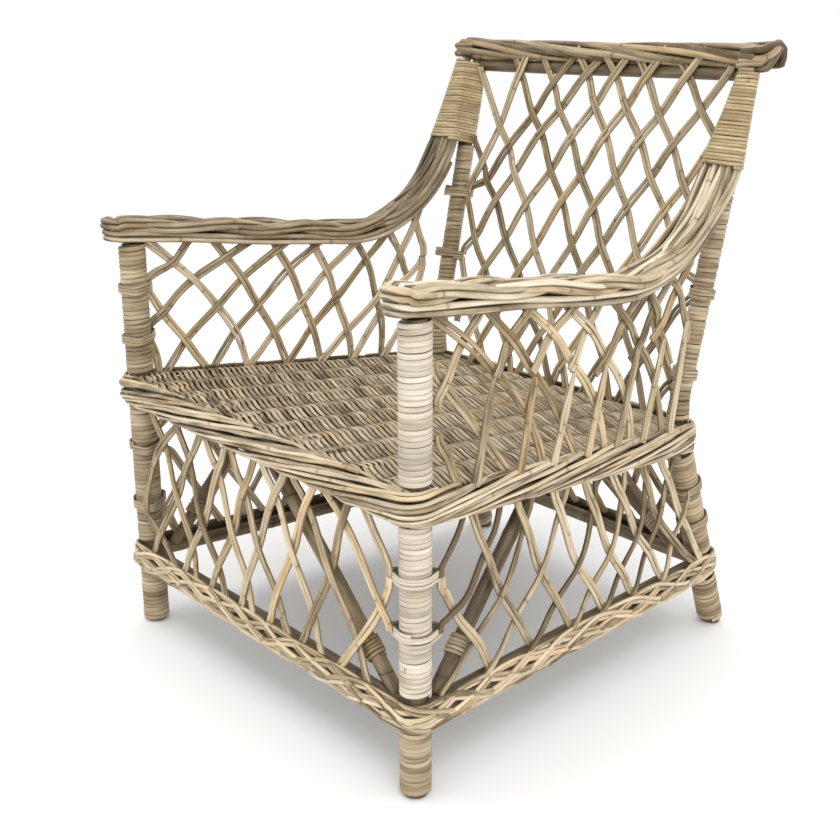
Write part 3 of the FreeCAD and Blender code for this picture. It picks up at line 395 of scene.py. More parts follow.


# scar is the darkest colour: for the growth-ring scars and real stains, and for the painted shade in grooves and on
# covered canes
def caneMaterial(name, pale, body, dark, scarAndShade=(62, 46, 26), ringSpacing=0.11, toneStrength=0.2, roughness=0.5,
                 gloss=0.35, fineness=900.0, reliefDepth=0.25, ringWidth=0.0012, grooveShade=0.0, twoFaced=0.0):
    material = bpy.data.materials.new(name)
    material.use_nodes = True
    tree = material.node_tree
    tree.nodes.clear()
    out = tree.nodes.new("ShaderNodeOutputMaterial")
    shader = tree.nodes.new("ShaderNodeBsdfPrincipled")
    tree.links.new(shader.outputs[0], out.inputs[0])
    coord = tree.nodes.new("ShaderNodeAttribute")
    coord.attribute_name = "caneCoord"
    tone = tree.nodes.new("ShaderNodeAttribute")
    tone.attribute_name = "caneTone"
    groups = {}
    for group in (fibreGroup, ringGroup, grooveShadeGroup, colourGroup):
        node = tree.nodes.new("ShaderNodeGroup")
        node.node_tree = group
        groups[group.name] = node
    fibres, rings, colour = groups["caneFibres"], groups["growthRings"], groups["caneColour"]
    # the groove darkening is painted shade with some old dirt; its depth is given per material
    grooveShadeNode = groups["caneGrooveShade"]
    tree.links.new(coord.outputs["Vector"], grooveShadeNode.inputs["Cane Coord"])
    tree.links.new(fibres.outputs["Streak"], grooveShadeNode.inputs["Streak"])
    grooveShadeNode.inputs["Groove Depth"].default_value = grooveShade
    grooveShadeNode.inputs["Two Faced"].default_value = twoFaced
    tree.links.new(grooveShadeNode.outputs[0], colour.inputs["Groove Shade"])
    tree.links.new(coord.outputs["Vector"], fibres.inputs["Cane Coord"])
    tree.links.new(coord.outputs["Vector"], rings.inputs["Cane Coord"])
    fibres.inputs["Fibre Fineness"].default_value = fineness
    rings.inputs["Ring Spacing"].default_value = ringSpacing
    rings.inputs["Ring Width"].default_value = ringWidth
    for label, value in (("Pale", pale), ("Body", body), ("Dark", dark), ("Scar And Shade", scarAndShade)):
        colour.inputs[label].default_value = linear(value)
    colour.inputs["Tone Strength"].default_value = toneStrength
    for label, socket in (("Streak", fibres.outputs[0]), ("Blotch", fibres.outputs[1]), ("Ring", rings.outputs[0]),
                          ("Near Ring", rings.outputs[1]), ("Cane Tone", tone.outputs["Vector"])):
        tree.links.new(socket, colour.inputs[label])
    tree.links.new(colour.outputs[0], shader.inputs["Base Color"])
    tree.links.new(rangeNode(tree, fibres.outputs["Streak"], 0.0, 1.0, roughness + 0.12, roughness - 0.1),
                   shader.inputs["Roughness"])
    shader.inputs["Specular IOR Level"].default_value = gloss
    bump = tree.nodes.new("ShaderNodeBump")
    bump.inputs["Strength"].default_value = reliefDepth
    bump.inputs["Distance"].default_value = 0.0012
    tree.links.new(mathNode(tree, "ADD", fibres.outputs["Relief"], mathNode(
        tree, "MULTIPLY", rings.outputs["Near Ring"], 0.5)), bump.inputs["Height"])
    tree.links.new(bump.outputs[0], shader.inputs["Normal"])
    return material


looks = {
    "binding": caneMaterial("creamBinding", (234, 225, 208), (208, 197, 177), (152, 135, 109), roughness=0.45,
                            gloss=0.4, toneStrength=0.18, ringSpacing=1.9, grooveShade=0.75),
    "tanBinding": caneMaterial("tanBinding", (210, 193, 164), (168, 149, 118), (108, 89, 62), roughness=0.45,
                               gloss=0.4, toneStrength=0.28, ringSpacing=1.3, grooveShade=0.75),
    "wrap": caneMaterial("wrapBinding", (224, 206, 168), (174, 154, 114), (116, 97, 64), roughness=0.36,
                         gloss=0.55, toneStrength=0.22, ringSpacing=1.3, grooveShade=0.75),
    "lattice": caneMaterial("latticeCane", (228, 210, 179), (188, 170, 137), (112, 94, 66), ringSpacing=0.17,
                            toneStrength=0.36, fineness=700.0, grooveShade=0.8, twoFaced=1.0),
    "plait": caneMaterial("plaitCane", (240, 229, 206), (204, 187, 157), (124, 106, 78), ringSpacing=0.27,
                          toneStrength=0.38, roughness=0.42, gloss=0.45, fineness=700.0, grooveShade=0.85),
    "tanPlait": caneMaterial("tanPlaitCane", (218, 202, 173), (174, 157, 128), (102, 85, 59), ringSpacing=0.27,
                             toneStrength=0.36, roughness=0.45, gloss=0.4, fineness=700.0, grooveShade=0.85),
    # the crest's canes are darker all over: painted shade, the crest standing in shade
    "crest": caneMaterial("shadedCrestCane", (194, 176, 145), (152, 134, 105), (86, 70, 46), ringSpacing=0.23,
                          toneStrength=0.34, fineness=600.0, grooveShade=0.85),
    "border": caneMaterial("borderCane", (232, 216, 188), (200, 182, 151), (102, 85, 58), ringSpacing=0.24,
                           toneStrength=0.36, fineness=700.0, grooveShade=0.85),
    "seat": caneMaterial("seatCane", (216, 200, 172), (180, 163, 135), (100, 83, 57), ringSpacing=0.21,
                         toneStrength=0.30, roughness=0.55, gloss=0.3, fineness=700.0, grooveShade=1.0,
                         scarAndShade=(52, 38, 20)),
    # the back's lattice is a darker copy of the lattice: painted shade
    "backLattice": caneMaterial("shadedBackLatticeCane", (208, 190, 158), (162, 145, 114), (98, 81, 55),
                                ringSpacing=0.17, toneStrength=0.34, fineness=700.0, grooveShade=0.8, twoFaced=1.0),
    "pole": caneMaterial("frameCane", (164, 149, 124), (122, 107, 82), (72, 60, 42), ringSpacing=0.27,
                         toneStrength=0.24, fineness=420.0, ringWidth=0.0018),
    "stake": caneMaterial("stakeCane", (150, 132, 102), (112, 95, 69), (66, 53, 35), ringSpacing=0.3,
                          toneStrength=0.24, fineness=420.0),
}
print("materials made")

# Poles of the frame

poleSizes = {"seatRail": 0.0125, "bottomRail": 0.010, "brace": 0.010, "bearer": 0.010, "armPole": 0.008,
             "crestRail": 0.010, "seatRailDrop": 0.0291, "railHeight": 0.117, "step": 0.006}
seatHeights = {"front": 0.414, "rear": 0.364}


def seatHeight(corner):
    return seatHeights["front"] if corner.startswith("front") else seatHeights["rear"]


def addPole(bundle, line, radius, tone=None, stainAndShade=0.0):
    wave = bundle.dice.uniform(0, 6)
    line = resampled(line, poleSizes["step"])
    bend = np.sin(np.linspace(wave, wave + 5, len(line)))[:, None] * 0.0008
    bundle.addCane(line + bend * np.array((0.3, 0.4, 1)), radius, tone=tone, stainAndShade=stainAndShade)


for corner in cornerNames:
    where, side = nodeEnding[corner]
    top = posts["frontTop"] if where == "front" else posts["rearHeight"]
    post = CaneBundle(f"{corner}Post", 16, 0.17, 0.03)
    heights = np.linspace(0.001, top - 0.001, 90)
    # the post is darkened a little all along: painted shade, the post lying under its windings
    post.addCane([postPoint(corner, z) for z in heights], [postRadius(corner, z) for z in heights], blunt=0.05,
                 stainAndShade=0.25)
    post.finishPiece(looks["pole"], [f"{where}_post_{side}"])

sides = {"front": ("frontRight", "frontLeft"), "left": ("frontLeft", "rearLeft"),
         "rear": ("rearLeft", "rearRight"), "right": ("rearRight", "frontRight")}
braces = {"front": ("frontLeft", "frontRight", 0.50), "left": ("frontLeft", "rearLeft", 0.42),
          "rear": ("rearLeft", "rearRight", 0.50), "right": ("frontRight", "rearRight", 0.40)}


def seatRailPoint(corner):
    return postPoint(corner, seatHeight(corner)) - np.array((0, 0, poleSizes["seatRailDrop"]))


def outwardOf(a, b):
    d = b - a
    n = unit((d[1], -d[0], 0))
    middle = (a + b) / 2
    return n if n[0] * middle[0] + n[1] * middle[1] > 0 else -n


def cutBack(a, b, amount):
    way = unit(b - a)
    return a + way * amount, b - way * amount


def braceEnds(side):
    base, other, share = braces[side]
    low, lowOther = postPoint(base, poleSizes["railHeight"]), postPoint(other, poleSizes["railHeight"])
    inward = -outwardOf(low, lowOther) * 0.004
    foot = mixed(low, lowOther, 0.05) + inward
    top = mixed(seatRailPoint(base), seatRailPoint(other), share) + inward
    return foot, top


for side, (first, second) in sides.items():
    rail = CaneBundle(f"{side}SeatRail", 12, 0.17, 0.04)
    # the seat rail is darkened: painted shade behind the seat border
    addPole(rail, cutBack(seatRailPoint(first), seatRailPoint(second), 0.013), poleSizes["seatRail"], stainAndShade=0.3)
    rail.finishPiece(looks["pole"], [f"seat_rail_{side}"])
    rail = CaneBundle(f"{side}BottomRail", 12, 0.17, 0.04)
    ends = cutBack(postPoint(first, poleSizes["railHeight"]), postPoint(second, poleSizes["railHeight"]), 0.014)
    addPole(rail, ends, poleSizes["bottomRail"])
    rail.finishPiece(looks["pole"], [f"bottom_rail_{side}"])
    foot, top = braceEnds(side)
    brace = CaneBundle(f"{side}Brace", 12, 0.17, 0.06)
    addPole(brace, cutBack(foot, top, 0.010), poleSizes["brace"])
    brace.finishPiece(looks["pole"], [f"brace_{side}"])


def seatPoint(across, depth, drop):
    right = mixed(postPoint("frontRight", 0), (-posts["rearBend"][0], posts["rearBend"][1], 0), depth)
    left = mixed(postPoint("frontLeft", 0), (posts["rearBend"][0], posts["rearBend"][1], 0), depth)
    point = mixed(right, left, across)
    point[2] = seatHeights["front"] * (1 - depth) + seatHeights["rear"] * depth - drop
    return point


bearers = CaneBundle("seatBearers", 12, 0.17, 0.04)
for share in (1 / 3, 2 / 3):
    ends = cutBack(seatPoint(0, share, 0.0266), seatPoint(1, share, 0.0266), 0.014)
    # the bearers are darkened: painted shade under the seat
    addPole(bearers, ends, poleSizes["bearer"], stainAndShade=0.2)
bearers.finishPiece(looks["pole"], ["seat_bearers"])
print("poles made")

# Windings of cane round the posts

winding = {"pitch": 0.0068, "cane": 0.0036, "flatness": 0.62, "stepsPerTurn": 18, "uneven": 0.0006}


def farthest(circles, direction):
    # the point of a bundle of round poles that lies farthest that way, in its cross plane
    best = max(circles, key=lambda c: c[0] * direction[0] + c[1] * direction[1] + c[2])
    return best[0] + direction[0] * best[2], best[1] + direction[1] * best[2]


def windingLine(centreAt, acrossAt, circlesAt, low, high, turns, dice, uneven, startAngle=0.0, steps=18):
    # turns round a bundle; circlesAt gives the bundle's round members across the height
    points, outwards = [], []
    pitch = (high - low) / turns
    tilt = [dice.uniform(-uneven, uneven) for _ in range(turns + 2)]
    lift = [dice.uniform(-uneven, uneven) for _ in range(turns + 2)]
    for step in range(int(turns * steps) + 1):
        turn = step / steps
        angle = startAngle + 2 * math.pi * turn
        index = int(turn)
        part = turn - index
        height = low + pitch * turn
        height += (lift[index] * (1 - part) + lift[index + 1] * part)
        height += (tilt[index] * (1 - part) + tilt[index + 1] * part) * math.cos(angle)
        across, aside = acrossAt(height)
        u, v = farthest(circlesAt(height), (math.cos(angle), math.sin(angle)))
        points.append(centreAt(height) + across * u + aside * v)
        outwards.append(across * math.cos(angle) + aside * math.sin(angle))
    return np.array(points), np.array(outwards)


def postAcross(corner):
    def ways(z):
        way = postWay(corner, z)
        across = unit(np.array((1.0, 0, 0)) - way * way[0])
        return across, np.cross(way, across)
    return ways


def windPost(bundle, corner, low, high, pitch=None, cane=None, stainAt=None):
    pitch = pitch or winding["pitch"]
    cane = cane or winding["cane"]
    thick = cane * winding["flatness"]
    turns = int(round((high - low - 1.6 * cane) / pitch))
    line, outward = windingLine(lambda z: postPoint(corner, z), postAcross(corner),
                                lambda z: [(0, 0, boundRadius(corner, z) - thick)], low + 0.8 * cane,
                                high - 0.8 * cane, turns, bundle.dice, winding["uneven"],
                                bundle.dice.uniform(0, 6), winding["stepsPerTurn"])
    along = np.linspace(0, turns, len(line))
    marks = [bundle.dice.uniform(-1, 1) for _ in range(turns + 2)]
    widths = [bundle.dice.uniform(0.90, 1.06) for _ in range(turns + 2)]
    stainAndShade = np.zeros(len(line))
    if stainAt:
        spot, spread, depth = stainAt
        stainAndShade = depth * np.exp(-((line[:, 2] - spot) / spread) ** 2)
    bundle.addCane(line, cane * np.interp(along, range(turns + 2), widths), outward, winding["flatness"],
                   tone=np.interp(along, range(turns + 2), marks), hue=bundle.dice.uniform(-0.4, 0.4), stainAndShade=stainAndShade)


spans = {}
for corner in cornerNames:
    front = corner.startswith("front")
    spans[corner] = {"foot": (0.003 if front else 0.009, 0.0955), "lower": (0.1385, 0.3685 if front else 0.3185),
                     "upper": (0.4155, 0.6150) if front else (0.3655, 0.7275)}
# heights of a rough darker place on a winding: its middle, its reach and its depth
roughPlaces = {("frontLeft", "upper"): (0.450, 0.013, 0.42), ("frontRight", "upper"): (0.46, 0.03, 0.25),
               ("frontLeft", "lower"): (0.2535, 0.026, 0.20), ("rearLeft", "upper"): (0.60, 0.06, 0.15)}
for corner in cornerNames:
    where, side = nodeEnding[corner]
    look = looks["binding"] if corner == "frontLeft" else looks["tanBinding"]
    for part in ("lower", "upper"):
        bundle = CaneBundle(f"{corner}{part.title()}Binding", 10, 0.9, boxy=0.72)
        windPost(bundle, corner, *spans[corner][part], stainAt=roughPlaces.get((corner, part)))
        bundle.finishPiece(look, [f"{where}_{part}_binding_{side}"])
footBinding = CaneBundle("footBindings", 10, 0.9, boxy=0.72)
for corner in cornerNames:
    windPost(footBinding, corner, *spans[corner]["foot"])
footBinding.finishPiece(looks["tanBinding"], ["foot_bindings"])
print("bindings made")

# Small ties that hold the ends of the lattice strands to the posts

tie = {"cane": 0.0024, "pitch": 0.0045, "turns": 3, "flare": (0.0055, 0.0010)}
# heights of each post's ties, as shares of its lower and its upper winding
tieShares = {"frontLeft": ((0.34, 0.66), ()), "frontRight": ((0.26, 0.67), (0.24, 0.63)),
             "rearRight": ((0.34, 0.66), (0.46, 0.75)), "rearLeft": ((0.28, 0.62), (0.18, 0.50))}


def inwardWays(corner):
    # level ways from a post along its two sides of the chair
    ways = []
    for first, second in sides.values():
        if corner in (first, second):
            other = second if corner == first else first
            ways.append(unit((postPoint(other, 0.2) - postPoint(corner, 0.2)) * np.array((1, 1, 0))))
    return ways


def addTie(bundle, corner, z, turns):
    across, aside = postAcross(corner)(z)
    base = boundRadius(corner, z) + 0.0004 + tie["cane"] * 0.8
    circles = [(0, 0, base)]
    for way in inwardWays(corner):
        u, v = np.dot(way, across), np.dot(way, aside)
        out = np.cross(way, (0, 0, 1))
        out = out if np.dot(out, postPoint(corner, z)) > 0 else -out
        s, t = np.dot(out, across), np.dot(out, aside)
        reach = base - 0.004 + tie["flare"][0 if corner.startswith("front") else 1]
        circles.append((u * reach + s * 0.010, v * reach + t * 0.010, 0.0068))
    line, outward = windingLine(lambda h: postPoint(corner, h), postAcross(corner), lambda h: circles,
                                z, z + turns * tie["pitch"], turns, bundle.dice, 0.0006,
                                bundle.dice.uniform(0, 6), 28)
    bundle.addCane(line, tie["cane"], outward, 0.8, tone=bundle.dice.uniform(-0.2, 0.7), hue=-0.6)


def tieHeights(corner, part):
    low, high = spans[corner][part]
    return [low + (high - low) * share for share in tieShares[corner][part == "upper"]]


for corner in cornerNames:
    ties = CaneBundle(f"{corner}Ties", 8, 0.9)
    for z in tieHeights(corner, "lower") + tieHeights(corner, "upper"):
        addTie(ties, corner, z, tie["turns"])
    ties.finishPiece(looks["binding" if corner == "frontLeft" else "tanBinding"],
                     [f"{nodeEnding[corner][0]}_post_ties"])

lashings = CaneBundle("braceLashings", 8, 0.9)
for side in sides:
    foot, top = braceEnds(side)
    way = unit(top - foot)
    across = unit(np.cross(way, (0, 0, 1)))
    aside = np.cross(way, across)
    base = foot + way * 0.060
    reach = poleSizes["brace"] + 0.0022
    line, outward = windingLine(lambda h: base + way * h, lambda h: (across, aside), lambda h: [(0, 0, reach)],
                                0.002, 0.028, 5, lashings.dice, 0.0007, 0.0, 18)
    lashings.addCane(line, 0.0026, outward, 0.75)
lashings.finishPiece(looks["tanBinding"], ["brace_lashings"])
print("ties made")

# Woven borders round the seat and round the foot

borders = {
    "seat": {"height": {"front": 0.392, "rear": 0.342}, "section": [
        (0.0195, -0.0195), (0.0255, -0.0195), (0.0292, -0.0130), (0.0298, 0.0), (0.0292, 0.0125),
        (0.0258, 0.0190), (0.0175, 0.0200)], "travel": 0.40, "strands": 8.6, "cane": 0.0033,
        "core": [(0.0200, -0.013), (0.0215, -0.005), (0.0215, 0.004), (0.0200, 0.012)]},
    "bottom": {"height": {"front": 0.117, "rear": 0.117}, "strands": 5, "wave": 0.400, "rise": 0.0160,
               "out": 0.0250, "depth": 0.0034, "cane": 0.0036,
               "core": [(0.0190, -0.013), (0.0195, -0.004), (0.0195, 0.004), (0.0190, 0.013)]},
}


class BorderLoop:
    # once round the chair outside the posts, with the outward way; it draws in at the rear posts
    def __init__(self, heights):
        centres, outwards, draws = [], [], []
        corners = [postPoint(c, heights["front" if c.startswith("front") else "rear"]) for c in cornerNames]
        depths = [1.0 if c.startswith("front") else 0.5 for c in cornerNames]
        count = len(corners)
        for i in range(count):
            a, b, c = corners[i], corners[(i + 1) % count], corners[(i + 2) % count]
            here, after = outwardOf(a, b), outwardOf(b, c)
            depthHere, depthNext = depths[i], depths[(i + 1) % count]
            for share in np.linspace(0, 1, 80, endpoint=False):
                centres.append(mixed(a, b, share))
                outwards.append(here)
                draws.append(np.interp(share, (0, 0.12, 0.88, 1), (depthHere, 1, 1, depthNext)))
            for share in np.linspace(0, 1, 10, endpoint=False):
                centres.append(b)
                outwards.append(unit(here * math.cos(share * math.pi / 2) + after * math.sin(share * math.pi / 2)))
                draws.append(depthNext)
        line = np.array(centres) + np.array(outwards) * 0.026
        closed = np.vstack([line, line[:1]])
        self.runs = np.concatenate([[0], np.cumsum(np.linalg.norm(np.diff(closed, axis=0), axis=1))])
        self.length = self.runs[-1]
        self.centres = np.array(centres + centres[:1])
        self.outwards = np.array(outwards + outwards[:1])
        self.draws = np.array(draws + draws[:1])

    def place(self, runs, out, rise):
        wrapped = np.asarray(runs) % self.length
        centres = np.stack([np.interp(wrapped, self.runs, self.centres[:, k]) for k in range(3)], axis=1)
        outwards = unit(np.stack([np.interp(wrapped, self.runs, self.outwards[:, k]) for k in range(3)], axis=1))
        draw = np.interp(wrapped, self.runs, self.draws)
        reach = 0.0175 + (out - 0.0175) * draw
        return centres + outwards * reach[:, None] + np.array((0, 0, 1)) * np.asarray(rise)[:, None], outwards


def sectionPlace(section, u):
    section = np.array(section)
    runs = np.concatenate([[0], np.cumsum(np.linalg.norm(np.diff(section, axis=0), axis=1))])
    return np.interp(u * runs[-1], runs, section[:, 0]), np.interp(u * runs[-1], runs, section[:, 1])


def addBorderCore(bundle, loop, values):
    for out, rise in values["core"]:
        runs = np.arange(0, loop.length + 0.01, 0.012)
        line, outwards = loop.place(runs, np.full(len(runs), out), np.full(len(runs), rise))
        # the core canes inside the border are darkened: painted shade
        bundle.addCane(line, values["cane"], outwards, stainAndShade=0.8)


def addTwinedBorder(bundle, values):
    # long strands that climb from the lower edge over the face to the inner top edge
    loop = BorderLoop(values["height"])
    spacing = values["travel"] / values["strands"]
    count = int(loop.length / spacing)
    dice = bundle.dice
    for index in range(count):
        begin = index * loop.length / count + dice.uniform(-0.005, 0.005)
        travel = values["travel"] * dice.uniform(0.94, 1.06)
        runs = np.arange(begin, begin + travel, 0.007)
        u = (runs - begin) / travel
        u = np.clip(u + 0.018 * np.sin(u * 9 + dice.uniform(0, 6)), 0, 1)
        out, rise = sectionPlace(values["section"], u)
        out = out + 0.0011 * np.sin(runs * 52 + (index % 3) * 2.1) + dice.uniform(-0.0006, 0.0006)
        line, outwards = loop.place(runs, out, rise)
        facing = outwards + np.array((0, 0, 1)) * (rise * 70)[:, None]
        radius = values["cane"] * dice.uniform(0.84, 1.08) * (1 + 0.05 * np.sin(runs * 40 + index))
        bundle.addCane(line, radius, facing)
    addBorderCore(bundle, loop, values)


def addBraidedBorder(bundle, values):
    # a flat braid of pairs: each pair swings up and down the face, over one and under the next
    loop = BorderLoop(values["height"])
    waves = round(loop.length / values["wave"])
    dice = bundle.dice
    for index in range(values["strands"]):
        start = index / values["strands"]
        for cane in (-1, 1):
            runs = np.arange(0, loop.length + 0.005, 0.006)
            phase = 2 * math.pi * (runs / loop.length * waves + start)
            swing = np.sin(phase + 0.25 * np.sin(runs * 31 + index))
            rise = values["rise"] * swing + cane * values["cane"] * 0.95
            rise = np.clip(rise, -0.0168, 0.0168)
            out = values["out"] + values["depth"] * np.cos(2 * phase) * 0.9 - 0.0012 * np.abs(swing) ** 3
            line, outwards = loop.place(runs, out, rise)
            radius = values["cane"] * (1 + 0.07 * np.sin(runs * 37 + index * 2 + cane)) * dice.uniform(0.88, 0.98)
            tone = 0.8 * np.sin(runs * 9 + index * 1.7 + cane)
            bundle.addCane(line, radius, outwards, tone=tone)
    addBorderCore(bundle, loop, values)


seatBorder = CaneBundle("seatBorder", 8, 0.19)
addTwinedBorder(seatBorder, borders["seat"])
seatBorder.finishPiece(looks["border"], [f"seat_border_{side}" for side in sides])
bottomBorder = CaneBundle("bottomBorder", 8, 0.19)
addBraidedBorder(bottomBorder, borders["bottom"])
bottomBorder.finishPiece(looks["border"], [f"bottom_border_{side}" for side in sides])
print("borders made")

# Seat: bands of slanting strokes over stakes that run from front to back

seat = {"bands": 10, "spacing": 0.0092, "cane": 0.0033, "slant": 0.24, "overlap": 0.66, "dip": 0.0052,
        "edge": 0.018, "inset": 0.0165}

stakes = CaneBundle("seatStakes", 10, 0.2)
for band in range(seat["bands"]):
    share = (band + 0.5) / seat["bands"]
    line = resampled([seatPoint(share, 0.0, 0.0123), seatPoint(share, 1.0, 0.0123)], 0.012)
    # the stakes under the weave are darkened: painted shade
    stakes.addCane(line, 0.0045, (0, 0, 1), 0.85, stainAndShade=0.4)
knots = CaneBundle("seatEdgeKnots", 8, 0.4)
for band in range(seat["bands"]):
    place = seatPoint((band + 0.5) / seat["bands"], 0.0, 0.0)
    turn = np.arange(0, 3.4 * 2 * math.pi, 0.35)
    reach = 0.0068 + 0.0004 * np.sin(turn * 0.7 + band)
    x = place[0] + knots.dice.uniform(-0.003, 0.003) + reach * np.cos(turn)
    y = place[1] - 0.004 + 0.0013 * turn + 0.25 * (x - place[0])
    z = place[2] - 0.0062 + np.minimum(reach * np.sin(turn), 0.0055)
    out = np.stack([np.cos(turn), 0 * turn, np.sin(turn)], axis=1)
    knots.addCane(np.stack([x, y, z], axis=1), 0.0019, out)
knots.finishPiece(looks["border"], ["seat_border_front"])
stakes.finishPiece(looks["stake"], ["seat_stakes"])


def seatBandEdges(y):
    # the weave's half width at a depth, out to the posts' inner border line
    depth = (y - posts["frontY"]) / (posts["rearBend"][1] - posts["frontY"])
    half = posts["frontX"] * (1 - depth) + posts["rearBend"][0] * depth
    height = seatHeights["front"] * (1 - depth) + seatHeights["rear"] * depth
    return half + seat["inset"], height


def addSeatStrokes(bundle, above):
    front, rear = posts["frontY"] - seat["inset"], posts["rearBend"][1] + seat["inset"]
    dice = bundle.dice
    rows = int((rear - front) / seat["spacing"])
    for band in range(seat["bands"]):
        bandShift = dice.uniform(0, seat["spacing"])
        for row in range(-2, rows + 3):
            y = front + row * seat["spacing"] + bandShift + dice.uniform(-0.0007, 0.0007)
            u = np.linspace(-seat["overlap"], seat["overlap"], 13)
            half, _ = seatBandEdges(np.clip(y, front, rear))
            width = 2 * half / seat["bands"]
            centre = -half + (band + 0.5) * width
            x = centre + u * width
            lean = -seat["slant"] * u * width * (1 if above else -1)
            lean = lean - 0.0035 * np.sin(u / seat["overlap"] * math.pi) * (1 if above else -1)
            ys = np.clip(y + lean, front, rear)
            _, height = seatBandEdges(ys)
            arch = np.abs(u / seat["overlap"]) ** 2.2
            if above:
                z = height - seat["cane"] - 0.0002 - seat["dip"] * arch
            else:
                z = height - 0.0185 + seat["dip"] * arch
            if np.ptp(ys) < 0.002:
                continue
            x = np.clip(x, -half, half)
            line = np.stack([x, ys, z], axis=1)
            radius = seat["cane"] * dice.uniform(0.86, 1.06) * (1 - 0.25 * np.abs(u / seat["overlap"]) ** 4)
            # painted shade: the ends of a stroke, where it tucks under its neighbours, and every stroke of the lower
            # layer are darkened
            stainAndShade = 0.9 * np.clip((np.abs(u) - 0.38) / 0.2, 0, 1) + (0.0 if above else 0.25)
            bundle.addCane(line, radius, (0, 0, 1), stainAndShade=np.clip(stainAndShade, 0, 1))


weave = CaneBundle("seatWeave", 8, 0.14)
addSeatStrokes(weave, True)
addSeatStrokes(weave, False)
weave.finishPiece(looks["seat"], ["seat_weave"])
print("seat made")

# Arms

arm = {"startHeight": 0.62493, "dip": 0.060, "bendRadius": 0.237, "nose": 0.050, "topHeight": 0.866,
       "poleRadius": 0.008, "gap": 0.0003, "perGroup": 4, "halfWide": 0.0252,
       "swing": 0.0135, "hump": 0.0042, "wave": 0.46, "strandRadius": 0.0042, "bow": 0.0262, "end": 0.065}


def armWays(side):
    front = np.array((side * posts["frontX"], posts["frontY"], 0.0))
    rear = np.array((side * posts["rearTop"][0], posts["rearTop"][1], 0.0))
    along = unit(rear - front)
    return front, along, np.array((-along[1], along[0], 0.0))


def armLine(side, lift, noseReach):
    # the arm's line: from the nose back, round the bend and up along the rear post
    front, along, _ = armWays(side)
    _, low, high = rearStations(side)
    postLine = unit(high - low)
    forward = -unit(along - postLine * np.dot(along, postLine))
    stand = posts["backRadius"] + arm["gap"] + arm["poleRadius"]
    run = np.dot(low + forward * stand - front, along)
    rest = low + forward * (stand + lift)
    dipWay = unit(along * run - np.array((0, 0, arm["dip"])))
    riseWay = unit(np.cross(dipWay, np.cross(along, (0, 0, 1))))
    riseWay = riseWay if riseWay[2] > 0 else -riseWay
    start = front + np.array((0, 0, arm["startHeight"])) + riseWay * lift
    a, b = np.dot(dipWay, along), dipWay[2]
    c, d = np.dot(postLine, along), postLine[2]
    u, v = np.dot(rest - start, along), (rest - start)[2]
    corner = start + dipWay * ((u * d - v * c) / (a * d - b * c))
    top = corner + postLine * ((arm["topHeight"] - corner[2]) / postLine[2])
    radius = arm["bendRadius"] - lift
    half = math.acos(np.clip(np.dot(-dipWay, postLine), -1, 1)) / 2
    reach = radius / math.tan(half)
    centre = corner + unit(postLine - dipWay) * (radius / math.sin(half))
    points = [start - dipWay * noseReach, corner - dipWay * reach]
    first, last = points[-1] - centre, corner + postLine * reach - centre
    turn = math.acos(np.clip(np.dot(unit(first), unit(last)), -1, 1))
    for share in np.linspace(0, 1, 24)[1:]:
        points.append(centre + (first * math.sin((1 - share) * turn) + last * math.sin(share * turn)) / math.sin(turn))
    points.append(top)
    return resampled(points, 0.007)


class FramedLine:
    # a line with its sideways and upward ways, so that strands can be laid beside it
    def __init__(self, line, aside):
        self.line = line
        tangents = unit(np.gradient(line, axis=0))
        self.rises = unit(np.cross(aside, tangents))
        if self.rises[0][2] < 0:
            self.rises = -self.rises
        self.asides = np.broadcast_to(aside, line.shape)
        self.runs = np.concatenate([[0], np.cumsum(np.linalg.norm(np.diff(line, axis=0), axis=1))])
        self.length = self.runs[-1]
        steep = np.where(line[:, 2] > line[:, 2].min() + 0.004)[0]
        self.bendRun = self.runs[steep[steep > np.argmin(line[:, 2])][0]]

    def mixedAt(self, runs, values):
        inside = np.clip(runs, 0, self.length)
        return np.stack([np.interp(inside, self.runs, values[:, k]) for k in range(3)], axis=1)

    def place(self, runs, wide, tall):
        # a place before the start lies straight ahead of it
        tangent = unit(self.line[1] - self.line[0])
        return (self.mixedAt(runs, self.line) + tangent * np.minimum(runs, 0)[:, None]
                + self.mixedAt(runs, self.asides) * wide[:, None] + self.mixedAt(runs, self.rises) * tall[:, None])

    def facing(self, runs, wide, tall):
        return self.mixedAt(runs, self.asides) * wide[:, None] + self.mixedAt(runs, self.rises) * tall[:, None]


def noseTurn(wide, tall, radius):
    # a strand's way round the nose in plan, from one side to the other
    ahead = (arm["bow"] - radius) * (abs(wide) / arm["halfWide"]) ** 0.7
    angles = np.linspace(math.pi, 0, 11)[1:-1]
    return np.stack([arm["bow"] - ahead * np.sin(angles), wide * np.cos(angles), np.full(len(angles), tall)], axis=1)


def addLoop(bundle, base, limbs, radius, upward):
    # one strand that comes forward on one side, turns round the nose and goes back on the other
    far, near = limbs
    turn = noseTurn(near[0][1], (near[0][2] + far[0][2]) / 2, radius)
    addStrand(bundle, base, np.vstack([far[::-1], turn, near]), radius, upward)


def addStrand(bundle, base, path, radius, upward):
    path = smoothLine(path, 0.006)
    shrink = np.interp(path[:, 0], [base.bendRun + 0.10, base.length - 0.14, base.length - 0.08, base.length],
                       [1, 1, 0.80, 0.6])
    line = base.place(path[:, 0], path[:, 1], path[:, 2])
    facing = base.facing(path[:, 0], path[:, 1], np.full(len(path), upward))
    # the arm is greyer and browner where it climbs to the shoulder
    fade = np.interp(path[:, 0], [base.bendRun, base.bendRun + 0.15], [0, 1])
    tone = bundle.dice.uniform(-0.9, 0.9) - 0.55 * np.interp(np.linspace(0, 1, len(line)),
                                                             np.linspace(0, 1, len(path)), fade)
    bundle.addCane(line, radius * shrink, facing, tone=tone)


